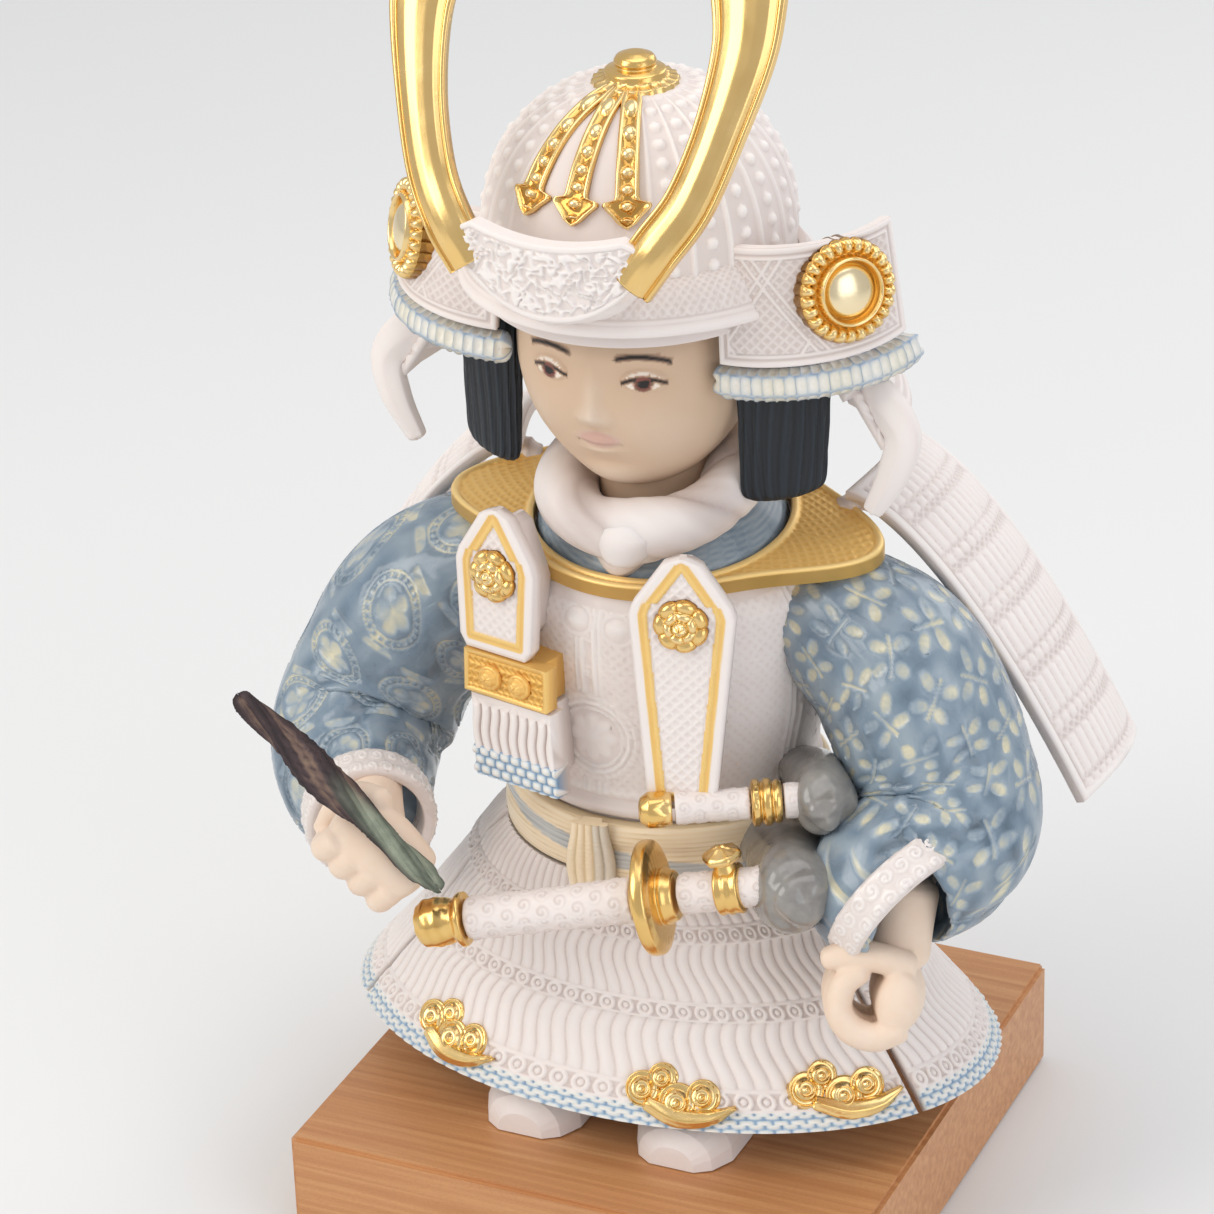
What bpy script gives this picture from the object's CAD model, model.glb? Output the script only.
import math

import bpy
import numpy as np
from mathutils import Matrix, Vector


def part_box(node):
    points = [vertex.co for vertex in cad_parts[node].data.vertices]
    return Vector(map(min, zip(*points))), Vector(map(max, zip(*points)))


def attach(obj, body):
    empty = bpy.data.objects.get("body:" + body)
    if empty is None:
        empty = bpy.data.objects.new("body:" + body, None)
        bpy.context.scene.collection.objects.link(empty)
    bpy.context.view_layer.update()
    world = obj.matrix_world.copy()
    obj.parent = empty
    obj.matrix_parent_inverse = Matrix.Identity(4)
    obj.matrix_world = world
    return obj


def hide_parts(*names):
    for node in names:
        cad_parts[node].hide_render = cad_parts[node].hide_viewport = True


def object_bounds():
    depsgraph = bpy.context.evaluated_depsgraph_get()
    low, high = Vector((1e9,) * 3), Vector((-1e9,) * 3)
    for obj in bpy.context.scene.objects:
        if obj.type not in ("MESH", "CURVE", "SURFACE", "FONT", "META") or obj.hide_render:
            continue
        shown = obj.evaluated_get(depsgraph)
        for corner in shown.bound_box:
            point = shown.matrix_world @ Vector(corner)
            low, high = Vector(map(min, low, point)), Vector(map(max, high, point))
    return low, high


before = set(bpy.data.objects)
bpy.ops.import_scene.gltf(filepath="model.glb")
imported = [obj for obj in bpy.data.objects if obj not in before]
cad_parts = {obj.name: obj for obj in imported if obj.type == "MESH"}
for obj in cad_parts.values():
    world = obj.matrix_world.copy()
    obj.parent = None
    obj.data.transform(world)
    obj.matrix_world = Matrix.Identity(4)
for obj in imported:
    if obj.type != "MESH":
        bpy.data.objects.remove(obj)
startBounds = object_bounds()

mm = 0.001
turnFull = 2 * math.pi


# Lowest and highest corner of a CAD node, in millimetres.
def boxOf(node):
    low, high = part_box(node)
    return np.array(low) / mm, np.array(high) / mm


# Levels and axes that every piece is placed from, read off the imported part
blockTop = boxOf("wooden_base")[1][2]
torsoLow, torsoHigh = boxOf("cuirass")
bowlLow, bowlHigh = boxOf("helmet_bowl")
neckSlope = 0.176
neckWide, neckDeep = 74.0, 66.0
waistWide, waistDeep = 74.0, 68.0
clear = 0.4
waistZ = torsoLow[2] - clear
neckZ = torsoHigh[2] - neckSlope * neckDeep / 2
headX = (bowlLow[0] + bowlHigh[0]) / 2
headY = -6.0
faceZ = neckZ + 53.0
helmetZ = faceZ + 27.0
helmetWide, helmetDeep, helmetTall = 75.0, 80.0, 39.0
sashTop = waistZ + 6.0
sashBottom = sashTop - 15.0
skirtTop = sashBottom - clear
hemZ = blockTop + 14.0


# Grids: points are rows x columns x 3, in millimetres

# Even steps from low to high.
def spread(low, high, count):
    return np.linspace(low, high, count)


# Difference between neighbours along one axis: p[i+1] - p[i-1].
def slopeOf(points, axis, loop):
    if loop:
        return np.roll(points, -1, axis) - np.roll(points, 1, axis)
    return np.gradient(points, axis=axis)


# Unit normal of a grid: d(across) x d(along), over its length.
def outward(points, loopAcross=False, loopAlong=False):
    normal = np.cross(slopeOf(points, 1, loopAcross), slopeOf(points, 0, loopAlong))
    return normal / np.maximum(np.linalg.norm(normal, axis=-1, keepdims=True), 1e-9)


# A grid as loose arrays: its points, its quads and two values per point for the material.
def patch(points, loopAcross=False, loopAlong=False, relief=None, tone=None):
    rows, columns = points.shape[:2]
    index = np.arange(rows * columns).reshape(rows, columns)
    if loopAcross:
        index = np.concatenate([index, index[:, :1]], 1)
    if loopAlong:
        index = np.concatenate([index, index[:1]], 0)
    quads = np.stack([index[:-1, :-1], index[:-1, 1:], index[1:, 1:], index[1:, :-1]],
                     -1).reshape(-1, 4)
    size = rows * columns
    values = [np.broadcast_to(0.5 if value is None else value,
                              (rows, columns)).reshape(size).astype(float)
              if which == 0 or value is not None else np.zeros(size)
              for which, value in enumerate((relief, tone))]
    return {"points": points.reshape(-1, 3), "quads": quads, "relief": values[0], "tone": values[1]}


# The same patch facing the other way.
def flipped(piece):
    return {**piece, "quads": piece["quads"][:, ::-1]}


# The patch across the plane x = 0 when sign is -1.
def mirrored(piece, sign):
    if sign > 0:
        return piece
    points = piece["points"].copy()
    points[:, 0] = -points[:, 0]
    return flipped({**piece, "points": points})


# Pieces modelled on the figure's left of the head: mirrored when sign is -1, then moved to the
# head's middle.
def besideHead(pieces, sign):
    placed = [mirrored(piece, sign) for piece in pieces]
    return [{**piece, "points": piece["points"] + np.array([headX, 0, 0])} for piece in placed]


# Raises a grid by a height in mm along its normal: p + n h. Its relief value is 0.5 + h / 2
# unless given.
def embossed(points, height, loopAcross=False, loopAlong=False, tone=None, shade=None, flip=False):
    normal = outward(points, loopAcross, loopAlong) * (-1 if flip else 1)
    raised = points + normal * np.asarray(height)[..., None]
    shade = np.clip(0.5 + np.asarray(height) / 2, 0, 1) if shade is None else shade
    result = patch(raised, loopAcross, loopAlong, shade, tone)
    return flipped(result) if flip else result


# A closed plate: the embossed face, a plain back at p - n t and a strip along each of the four
# edges.
def plate(points, height, thickness, tone=None, shade=None, flip=False):
    normal = outward(points) * (-1 if flip else 1)
    face = points + normal * np.asarray(height)[..., None]
    back = (points - normal * thickness)[:,
                                         np.unique(np.linspace(0, points.shape[1] - 1, 24).astype(int))]
    shade = np.clip(0.5 + np.asarray(height) / 2, 0, 1) if shade is None else shade
    ring = np.concatenate([face, back[:, ::-1]], 1)
    rest = np.full(back.shape[:2], 0.5)
    full = points.shape[:2]
    toneBack = None if tone is None else np.concatenate([np.broadcast_to(tone, full), rest * 0], 1)
    body = patch(ring, True, False, np.concatenate([np.broadcast_to(shade, full), rest], 1),
                 toneBack)
    edge = (points - normal * thickness)[[0, -1]]
    first = patch(np.stack([edge[0], face[0]]))
    last = patch(np.stack([face[-1], edge[1]]))
    pieces = [body, first, last]
    return [flipped(p) for p in pieces] if flip else pieces


# Catmull-Rom curve through rows of numbers, read at even steps.
def finePath(points, count):
    points = np.asarray(points, float)
    ends = np.concatenate([2 * points[:1] - points[1:2], points, 2 * points[-1:] - points[-2:-1]])
    place = spread(0, len(points) - 1, count)
    k = np.minimum(place.astype(int), len(points) - 2)
    t = (place - k)[:, None]
    a, b, c, d = ends[k], ends[k + 1], ends[k + 2], ends[k + 3]
    return 0.5 * (2 * b + (c - a) * t + (2 * a - 5 * b + 4 * c - d) * t ** 2
                  + (3 * b - a - 3 * c + d) * t ** 3)


# A polyline of any width, read every step along its length (first two values count as the
# length).
def evenSteps(profile, step):
    profile = np.asarray(profile, float)
    length = np.concatenate([[0], np.cumsum(np.hypot(*np.diff(profile[:, :2], axis=0).T))])
    place = spread(0, length[-1], max(3, int(length[-1] / step)))
    return np.stack([np.interp(place, length, column) for column in profile.T], 1)


# Softens a polyline's corners: each inner point moves to (a + 2 b + c) / 4.
def rounded(profile, passes=2):
    for _ in range(passes):
        inner = (profile[:-2] + 2 * profile[1:-1] + profile[2:]) / 4
        profile = np.concatenate([profile[:1], inner, profile[-1:]])
    return profile


# Unit directions at each point of a path: across (t x up), lift (across x t) and ahead (t).
def alongPath(path, up):
    ahead = np.gradient(path, axis=0)
    ahead /= np.linalg.norm(ahead, axis=1, keepdims=True)
    across = np.cross(ahead, np.asarray(up, float))
    across /= np.linalg.norm(across, axis=1, keepdims=True)
    return across, np.cross(across, ahead), ahead


# A tube: p + across a cos t + lift b sin t, with ends that close in a quarter circle.
def tube(path, half, tall, columns, up=(0, 0, 1), height=None, tone=None, ends=True):
    path = np.asarray(path, float)
    half = np.broadcast_to(half, len(path)).astype(float)
    tall = np.broadcast_to(tall, len(path)).astype(float)
    across, lift, ahead = alongPath(path, up)
    if ends:
        dome = spread(0, math.pi / 2, 5)[1:]
        short = np.minimum(half, tall)[[0, -1]]
        first = path[0] - ahead[0] * (short[0] * 0.6 * np.sin(dome))[::-1, None]
        last = path[-1] + ahead[-1] * (short[1] * 0.6 * np.sin(dome))[:, None]
        shrink = np.maximum(np.cos(dome), 0.02)
        path = np.concatenate([first, path, last])
        half = np.concatenate([half[0] * shrink[::-1], half, half[-1] * shrink])
        tall = np.concatenate([tall[0] * shrink[::-1], tall, tall[-1] * shrink])
        across, lift = [np.concatenate([v[:1]] * 4 + [v] + [v[-1:]] * 4) for v in (across, lift)]
    turn = turnFull * np.arange(columns) / columns
    points = (path[:, None] + across[:, None] * (half[:, None] * np.cos(turn))[..., None]
              + lift[:, None] * (tall[:, None] * np.sin(turn))[..., None])
    if height is None:
        return patch(points, True, tone=tone)
    rows = spread(0, 1, len(path))[:, None]
    return embossed(points, height(turn[None, :] / turnFull, rows), True, tone=tone)


# A turned piece: start + ahead s + r (across cos t + lift sin t), closed at both ends.
def turned(start, ahead, profile, columns, step=0.4, height=None, up=(0, 0, 1), tone=None):
    ahead = np.asarray(ahead, float) / np.linalg.norm(ahead)
    across = np.cross(ahead, up)
    across /= np.linalg.norm(across)
    lift = np.cross(across, ahead)
    profile = np.concatenate([[[profile[0][0], 0.02]], profile, [[profile[-1][0], 0.02]]])
    profile = rounded(evenSteps(profile, step))
    turn = turnFull * np.arange(columns) / columns
    spoke = across * np.cos(turn)[:, None] + lift * np.sin(turn)[:, None]
    points = np.asarray(start) + ahead * profile[:, :1, None] + spoke[None] * profile[:, 1:, None]
    if height is None:
        return patch(points, True, tone=tone)
    return embossed(points, height(turn[None, :], profile[:, :1]), True, tone=tone)


# Share of each piece's faces that is kept
finish = {"share": 0.28}


# One object from patches, cut off at the frame's box; it rides on the root body and stands for
# the CAD nodes given.
def addPiece(name, patches, look, nodes, smooth=None):
    starts = np.concatenate([[0], np.cumsum([len(p["points"]) for p in patches])])[:-1]
    points = np.clip(np.concatenate([p["points"] for p in patches]) * mm, startBounds[0],
                     startBounds[1])
    quads = np.concatenate([p["quads"] + start for p, start in zip(patches, starts)])
    mesh = bpy.data.meshes.new(name)
    mesh.vertices.add(len(points))
    mesh.vertices.foreach_set("co", points.ravel())
    mesh.loops.add(quads.size)
    mesh.loops.foreach_set("vertex_index", quads.ravel().astype(np.int32))
    mesh.polygons.add(len(quads))
    mesh.polygons.foreach_set("loop_start", np.arange(0, quads.size, 4, dtype=np.int32))
    mesh.update(calc_edges=True)
    mesh.validate()
    for field in ("relief", "tone"):
        values = np.concatenate([p[field] for p in patches])
        mesh.attributes.new(field, "FLOAT",
                            "POINT").data.foreach_set("value", values.astype(np.float32))
    mesh.shade_smooth()
    thing = bpy.data.objects.new(name, mesh)
    bpy.context.scene.collection.objects.link(thing)
    mesh.materials.append(look)
    if smooth:
        blend(thing, **smooth)
    thin(thing)
    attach(thing, "root")
    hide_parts(*nodes)


# Collapses the edges that matter least: flat faces and backs go first, relief keeps its form.
def thin(thing):
    modifier = thing.modifiers.new("thin", "DECIMATE")
    modifier.ratio = finish["share"]
    view = bpy.context.evaluated_depsgraph_get()
    full = thing.data
    thing.data = bpy.data.meshes.new_from_object(thing.evaluated_get(view))
    thing.modifiers.clear()
    bpy.data.meshes.remove(full)


# Melts overlapping rolls into one modelled body: a voxel skin, then a few smoothing rounds.
def blend(thing, voxel, factor, rounds):
    skin = thing.modifiers.new("skin", "REMESH")
    skin.mode = "VOXEL"
    skin.voxel_size = voxel * mm
    skin.use_smooth_shade = True
    soft = thing.modifiers.new("soft", "SMOOTH")
    soft.factor = factor
    soft.iterations = rounds


# Reliefs: heights from 0 to 1 over coordinates in millimetres

# 0.5 + 0.5 cos(2 pi x).
def wave(x):
    return 0.5 + 0.5 * np.cos(turnFull * x)


# 1 within half of zero, falling to 0 over soft.
def band(d, half, soft=0.25):
    return np.clip((half - np.abs(d)) / soft + 0.5, 0, 1)


# A round boss: sqrt(1 - (d / r)^2).
def dome(d, radius):
    return np.sqrt(np.clip(1 - (d / radius) ** 2, 0, 1))


# Signed distance to the middle of a repeating cell.
def cell(x, pitch):
    return (x / pitch - np.floor(x / pitch) - 0.5) * pitch


# Crossed fine ribs on both diagonals: the higher of the two line families.
def lattice(x, y, pitch):
    first = band(cell((x + y) / math.sqrt(2), pitch), 0.16 * pitch, 0.2 * pitch)
    second = band(cell((x - y) / math.sqrt(2), pitch), 0.16 * pitch, 0.2 * pitch)
    return np.maximum(first, second)


# A lobed blossom: its edge is r (0.8 + 0.2 |cos(n t / 2)|), veined, with a raised middle.
def flower(x, y, radius, petals, inner=0.3):
    r, t = np.hypot(x, y), np.arctan2(y, x)
    lobe = np.abs(np.cos(petals * t / 2))
    edge = radius * (0.74 + 0.26 * lobe ** 0.7)
    body = np.clip((edge - r) / (0.16 * radius), 0,
                   1) * (0.45 + 0.55 * lobe ** 0.6) * (0.6 + 0.4 * r / radius)
    return np.maximum(body, dome(r, inner * radius))


# Curling tendrils: in staggered cells a spiral ridge cos(t - 2 pi r / s), which fades at the
# cell's edge.
def scroll(x, y, pitch):
    row = np.floor(y / pitch)
    cx, cy = cell(x + 0.5 * pitch * (row % 2), pitch), cell(y, pitch)
    spin = np.where((np.floor((x + 0.5 * pitch * (row % 2)) / pitch) + row) % 2 < 1, 1, -1)
    r, t = np.hypot(cx, cy), np.arctan2(cy, cx)
    arm = 0.5 + 0.5 * np.cos(spin * t - turnFull * r / (0.3 * pitch))
    return arm ** 1.4 * np.clip(1.9 - 3.4 * r / pitch, 0.15, 1)


# Dense squirming tendrils with round buds: ridges where a warped sum of waves is near nought.
def tendrils(x, y, size):
    k = turnFull / size
    wx = x + 0.28 * size * np.sin(k * 0.9 * y + 1.3) + 0.16 * size * np.sin(k * 2.1 * y + k * x)
    wy = y + 0.28 * size * np.sin(k * 0.8 * x + 0.4) + 0.16 * size * np.sin(k * 1.9 * x - k * y + 2)
    ridge = np.sin(k * wx) * np.cos(k * 0.93 * wy) + 0.35 * np.sin(k * (0.7 * wx + 1.1 * wy) + 1)
    buds = dome(np.hypot(cell(wx + 0.2 * size, 1.35 * size), cell(wy, 1.2 * size)), 0.2 * size)
    return np.maximum(dome(np.abs(ridge), 0.42) * 0.85, buds)


# Hand-made unevenness between -1 and 1: a mean of six sines in fixed directions.
def uneven(points, size, seed=0):
    make = np.random.default_rng(seed)
    direction = make.normal(size=(6, 3))
    direction /= np.linalg.norm(direction, axis=1, keepdims=True)
    phase = make.uniform(0, turnFull, 6)
    rate = turnFull / size * make.uniform(0.6, 1.5, 6)
    return np.mean([np.sin(points @ d * k + p) for d, k, p in zip(direction, rate, phase)], 0) * 1.5


# Materials

# sRGB hex to linear light with alpha 1.
def linear(hexColour):
    channels = [int(hexColour[i:i + 2], 16) / 255 for i in (1, 3, 5)]
    return (*[c / 12.92 if c <= 0.04045 else ((c + 0.055) / 1.055) ** 2.4 for c in channels], 1.0)


# Adds one node, sets its properties and sockets, and links its inputs.
def node(tree, kind, settings=None, links=None):
    made = tree.nodes.new(kind)
    for key, value in (settings or {}).items():
        if isinstance(key, int) or key in made.inputs:
            made.inputs[key].default_value = value
        else:
            setattr(made, key, value)
    for key, source in (links or {}).items():
        tree.links.new(source, made.inputs[key])
    return made


# An empty material that remembers its slot.
def startLook(name, slotName):
    material = bpy.data.materials.new(name)
    material.use_nodes = True
    material["slot"] = slotName
    tree = material.node_tree
    tree.nodes.clear()
    output = node(tree, "ShaderNodeOutputMaterial")
    return material, tree, output


# A ramp through (place, hex) stops.
def colourRamp(tree, source, stops):
    made = node(tree, "ShaderNodeValToRGB", links={"Fac": source})
    ramp = made.color_ramp
    while len(ramp.elements) < len(stops):
        ramp.elements.new(0.5)
    for element, (place, colour) in zip(ramp.elements, stops):
        element.position = place
        element.color = linear(colour)
    return made.outputs["Color"]


# Values of a plain matt biscuit, which each look below changes where it differs
firedBase = {"cloudSize": 16.0, "cloudShift": 0.1, "grainSize": 0.35, "grainStrength": 0.35,
             "grainDepth": 0.06,
             "evenSpread": 0.1, "evenSize": 3.0, "metallic": 0.0, "coat": 0.0, "coatRough": 0.1,
             "depth": 0.0,
             "clayIor": 1.5}


# Fired clay, glaze or gilding: the relief value picks recess, body or raised colour, the tone
# value mixes in an accent, a soft cloud of firing marks shifts the colour, and grain gives the
# surface its fine tooth.
def fired(name, slotName, values):
    values = {**firedBase, **values}
    material, tree, output = startLook(name, slotName)
    place = node(tree, "ShaderNodeTexCoord").outputs["Object"]
    if "even" in values:
        mottle = node(tree, "ShaderNodeTexNoise", {"Scale": 1 / (values["evenSize"] * mm)},
                      {"Vector": place})
        relief = node(tree, "ShaderNodeMapRange", {"To Min": values["even"] - values["evenSpread"],
                                                   "To Max": values["even"] + values["evenSpread"]},
                      {"Value": mottle.outputs["Fac"]}).outputs["Result"]
    else:
        relief = node(tree, "ShaderNodeAttribute", {"attribute_name": "relief"}).outputs["Fac"]
    tone = node(tree, "ShaderNodeAttribute", {"attribute_name": "tone"}).outputs["Fac"]
    cloud = node(tree, "ShaderNodeTexNoise",
                 {"Scale": 1 / (values["cloudSize"] * mm), "Detail": 3.0},
                 {"Vector": place}).outputs["Fac"]
    grain = node(tree, "ShaderNodeTexNoise",
                 {"Scale": 1 / (values["grainSize"] * mm), "Detail": 4.0},
                 {"Vector": place}).outputs["Fac"]
    lifted = node(tree, "ShaderNodeMath", {"operation": "MULTIPLY", 1: values["cloudShift"]},
                  {0: cloud}).outputs[0]
    shifted = node(tree, "ShaderNodeMath", {"operation": "ADD"}, {0: relief, 1: lifted}).outputs[0]
    centred = node(tree, "ShaderNodeMath", {"operation": "SUBTRACT", 1: 0.5 * values["cloudShift"]},
                   {0: shifted}).outputs[0]
    body = colourRamp(tree, centred, values["stops"])
    accent = colourRamp(tree, centred, values.get("accent", values["stops"]))
    mixed = node(tree, "ShaderNodeMix", {"data_type": "RGBA"}, {"Factor": tone})
    tree.links.new(body, mixed.inputs[6])
    tree.links.new(accent, mixed.inputs[7])
    rough = node(tree, "ShaderNodeMapRange",
                 {"To Min": values["rough"][0], "To Max": values["rough"][1]},
                 {"Value": cloud}).outputs["Result"]
    bump = node(tree, "ShaderNodeBump",
                {"Strength": values["grainStrength"], "Distance": values["grainDepth"] * mm},
                {"Height": grain}).outputs["Normal"]
    shader = node(tree, "ShaderNodeBsdfPrincipled", {
        "Metallic": values["metallic"], "Coat Weight": values["coat"],
        "Coat Roughness": values["coatRough"], "Subsurface Weight": values["depth"],
        "Subsurface Radius": (1.0, 0.8, 0.65), "Subsurface Scale": 0.8 * mm},
        {"Base Color": mixed.outputs[2], "Roughness": rough, "Normal": bump})
    if values["metallic"] == 0:
        shader.inputs["IOR"].default_value = values["clayIor"]
    tree.links.new(shader.outputs[0], output.inputs["Surface"])
    return material


# Biscuit porcelain: matt, faintly pink white; warm dust in the recesses makes the carved
# pattern readable.
bisque = fired("bisque_porcelain", "bisque_white", {
    "stops": [(0.0, "#B3A19A"), (0.34, "#DBCEC8"), (0.5, "#EEE4DF"), (0.85, "#F6F0EC")],
    "accent": [(0.0, "#A87A38"), (0.4, "#D2A55B"), (0.6, "#DDB368"), (1.0, "#E8C47E")],
    "rough": (0.5, 0.68), "depth": 0.12})

# Burnished gilding: bright warm metal, darker and redder in the hollows where the burnisher misses
gilding = fired("burnished_gilding", "gilded_porcelain", {
    "stops": [(0.0, "#8A5A2C"), (0.3, "#D2A055"), (0.5, "#EEC67C"), (0.85, "#FADFA6")],
    "accent": [(0.0, "#C09050"), (0.4, "#EBCF96"), (0.6, "#F7E5BC"), (1.0, "#FCF0D2")],
    "cloudSize": 7.0, "cloudShift": 0.16, "grainSize": 0.5, "grainStrength": 0.25,
    "grainDepth": 0.05, "rough": (0.14, 0.34), "metallic": 1.0})

# Matt gilding: gold left unburnished, which scatters much of its light, as on the yoke and the
# chest bands
mattGilding = fired("matt_gilding", "gilded_porcelain", {
    "stops": [(0.0, "#B98235"), (0.35, "#E9B55C"), (0.55, "#F7C873"), (0.9, "#FFDC93")],
    "cloudSize": 6.0, "cloudShift": 0.14, "grainSize": 0.4, "grainStrength": 0.3,
    "grainDepth": 0.05, "rough": (0.32, 0.5), "metallic": 0.4})

# Blue glaze that breaks over relief: cream on the raised work, grey-blue body, dark where it pools
blueGlaze = fired("breaking_blue_glaze", "blue_glaze", {
    "stops": [(0.0, "#42535F"), (0.25, "#758797"), (0.45, "#98A6B0"), (0.62, "#BDBDAE"),
              (0.8, "#DAD2B4"), (1.0, "#E8E0C6")],
    "accent": [(0.0, "#B0A098"), (0.35, "#DCCFC8"), (0.6, "#EFE6E1"), (1.0, "#F6F0EC")],
    "cloudSize": 9.0, "cloudShift": 0.26, "grainSize": 0.6, "grainStrength": 0.2,
    "grainDepth": 0.05, "rough": (0.2, 0.36), "coat": 0.35, "coatRough": 0.12})

# Lacing glaze: cream silk tops, blue between the cords
laceGlaze = fired("lacing_glaze", "blue_glaze", {
    "stops": [(0.0, "#55739A"), (0.25, "#93A9C2"), (0.45, "#D9DAD6"), (0.8, "#F3EFE6")],
    "accent": [(0.0, "#6480A2"), (0.25, "#A9B6BF"), (0.45, "#E3DCC6"), (0.8, "#F3ECDA")],
    "cloudSize": 8.0, "cloudShift": 0.16, "grainSize": 0.3, "grainStrength": 0.3,
    "grainDepth": 0.05, "rough": (0.34, 0.5), "coat": 0.15})

# Cream satin glaze of the sash, with a grey-blue line where it thins out over the stitching
creamGlaze = fired("cream_satin_glaze", "cream_glaze", {
    "stops": [(0.0, "#B3A384"), (0.35, "#E6CFA9"), (0.55, "#F5DFBA"), (0.85, "#FAEBD2")],
    "accent": [(0.0, "#5F7288"), (0.4, "#8FA0B2"), (0.7, "#B9C3CB"), (1.0, "#D9DCDC")],
    "cloudSize": 10.0, "cloudShift": 0.12, "grainSize": 0.35, "grainStrength": 0.3,
    "grainDepth": 0.05, "rough": (0.34, 0.5), "coat": 0.1})

# Flesh: matt beige wash on biscuit; the tone value carries the painted brows, eyes and lips
flesh = fired("flesh_wash", "painted_flesh", {
    "stops": [(0.0, "#A9846A"), (0.35, "#CBAB8F"), (0.5, "#D6B99D"), (0.85, "#EFE2D4")],
    "accent": [(0.0, "#1A1412"), (0.35, "#271E1B"), (0.6, "#A8604F"), (1.0, "#C27C6A")],
    "cloudSize": 18.0, "cloudShift": 0.12, "grainSize": 0.3, "grainStrength": 0.25,
    "grainDepth": 0.04, "rough": (0.5, 0.62), "depth": 0.15})

# The same wash for the hands, whose modelled surface carries no relief value
fleshHands = fired("flesh_wash_hands", "painted_flesh", {
    "stops": [(0.0, "#C39D84"), (0.35, "#E4C7AE"), (0.5, "#ECD3BC"), (0.85, "#F3E0CE")],
    "even": 0.6, "cloudSize": 12.0, "cloudShift": 0.3, "grainSize": 0.3, "grainStrength": 0.25,
    "grainDepth": 0.04, "rough": (0.5, 0.62), "depth": 0.15})

# Warm grey gloss glaze, pooled darker in places, of the tied loops
greyLoops = fired("grey_gloss_loops", "grey_glaze", {
    "stops": [(0.0, "#55514F"), (0.4, "#7E7B78"), (0.6, "#99958F"), (1.0, "#B9B4AB")], "even": 0.5,
    "cloudSize": 9.0, "cloudShift": 0.5, "grainSize": 1.2, "grainStrength": 0.15,
    "grainDepth": 0.06, "rough": (0.14, 0.28), "coat": 0.5, "coatRough": 0.08})

# Biscuit of the shaped boots, which carry no relief value: even, with faint clouding
bootBisque = fired("boot_bisque", "bisque_white", {
    "stops": [(0.0, "#C9BBB5"), (0.35, "#E4D9D4"), (0.55, "#EEE5E0"), (0.85, "#F5EFEB")],
    "even": 0.6,
    "cloudSize": 11.0, "cloudShift": 0.2, "rough": (0.5, 0.68)})

# Blue glaze of the trousers, pooled in clouds over plain cloth folds
trouserGlaze = fired("trouser_glaze", "blue_glaze", {
    "stops": [(0.0, "#4A5C6B"), (0.35, "#7C90A2"), (0.55, "#9CABB8"), (0.8, "#C6C6B8"),
              (1.0, "#DDD6BC")], "even": 0.45,
    "cloudSize": 8.0, "cloudShift": 0.5, "grainSize": 0.8, "grainStrength": 0.25,
    "grainDepth": 0.06, "rough": (0.2, 0.36), "coat": 0.35, "coatRough": 0.12})

# Hair: blue-black matt enamel that greys a little on the ridges of the combed strands
hairPaint = fired("hair_enamel", "painted_hair", {
    "stops": [(0.0, "#06080B"), (0.4, "#0D1218"), (0.6, "#151C24"), (1.0, "#2A3541")],
    "cloudSize": 6.0, "cloudShift": 0.1, "grainSize": 0.25, "grainStrength": 0.5,
    "grainDepth": 0.06, "rough": (0.42, 0.6)})

# Bark: dark purple-brown enamel with grey-green lichen where the tone value is high
barkPaint = fired("bark_enamel", "painted_bark", {
    "stops": [(0.0, "#2A1F22"), (0.35, "#4A3A3C"), (0.6, "#7B6458"), (1.0, "#A48E78")],
    "accent": [(0.0, "#5A6154"), (0.4, "#8A917F"), (0.7, "#A9AF9B"), (1.0, "#C4C8B5")],
    "cloudSize": 3.0, "cloudShift": 0.5, "grainSize": 0.4, "grainStrength": 0.7, "grainDepth": 0.15,
    "rough": (0.6, 0.85)})

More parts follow.
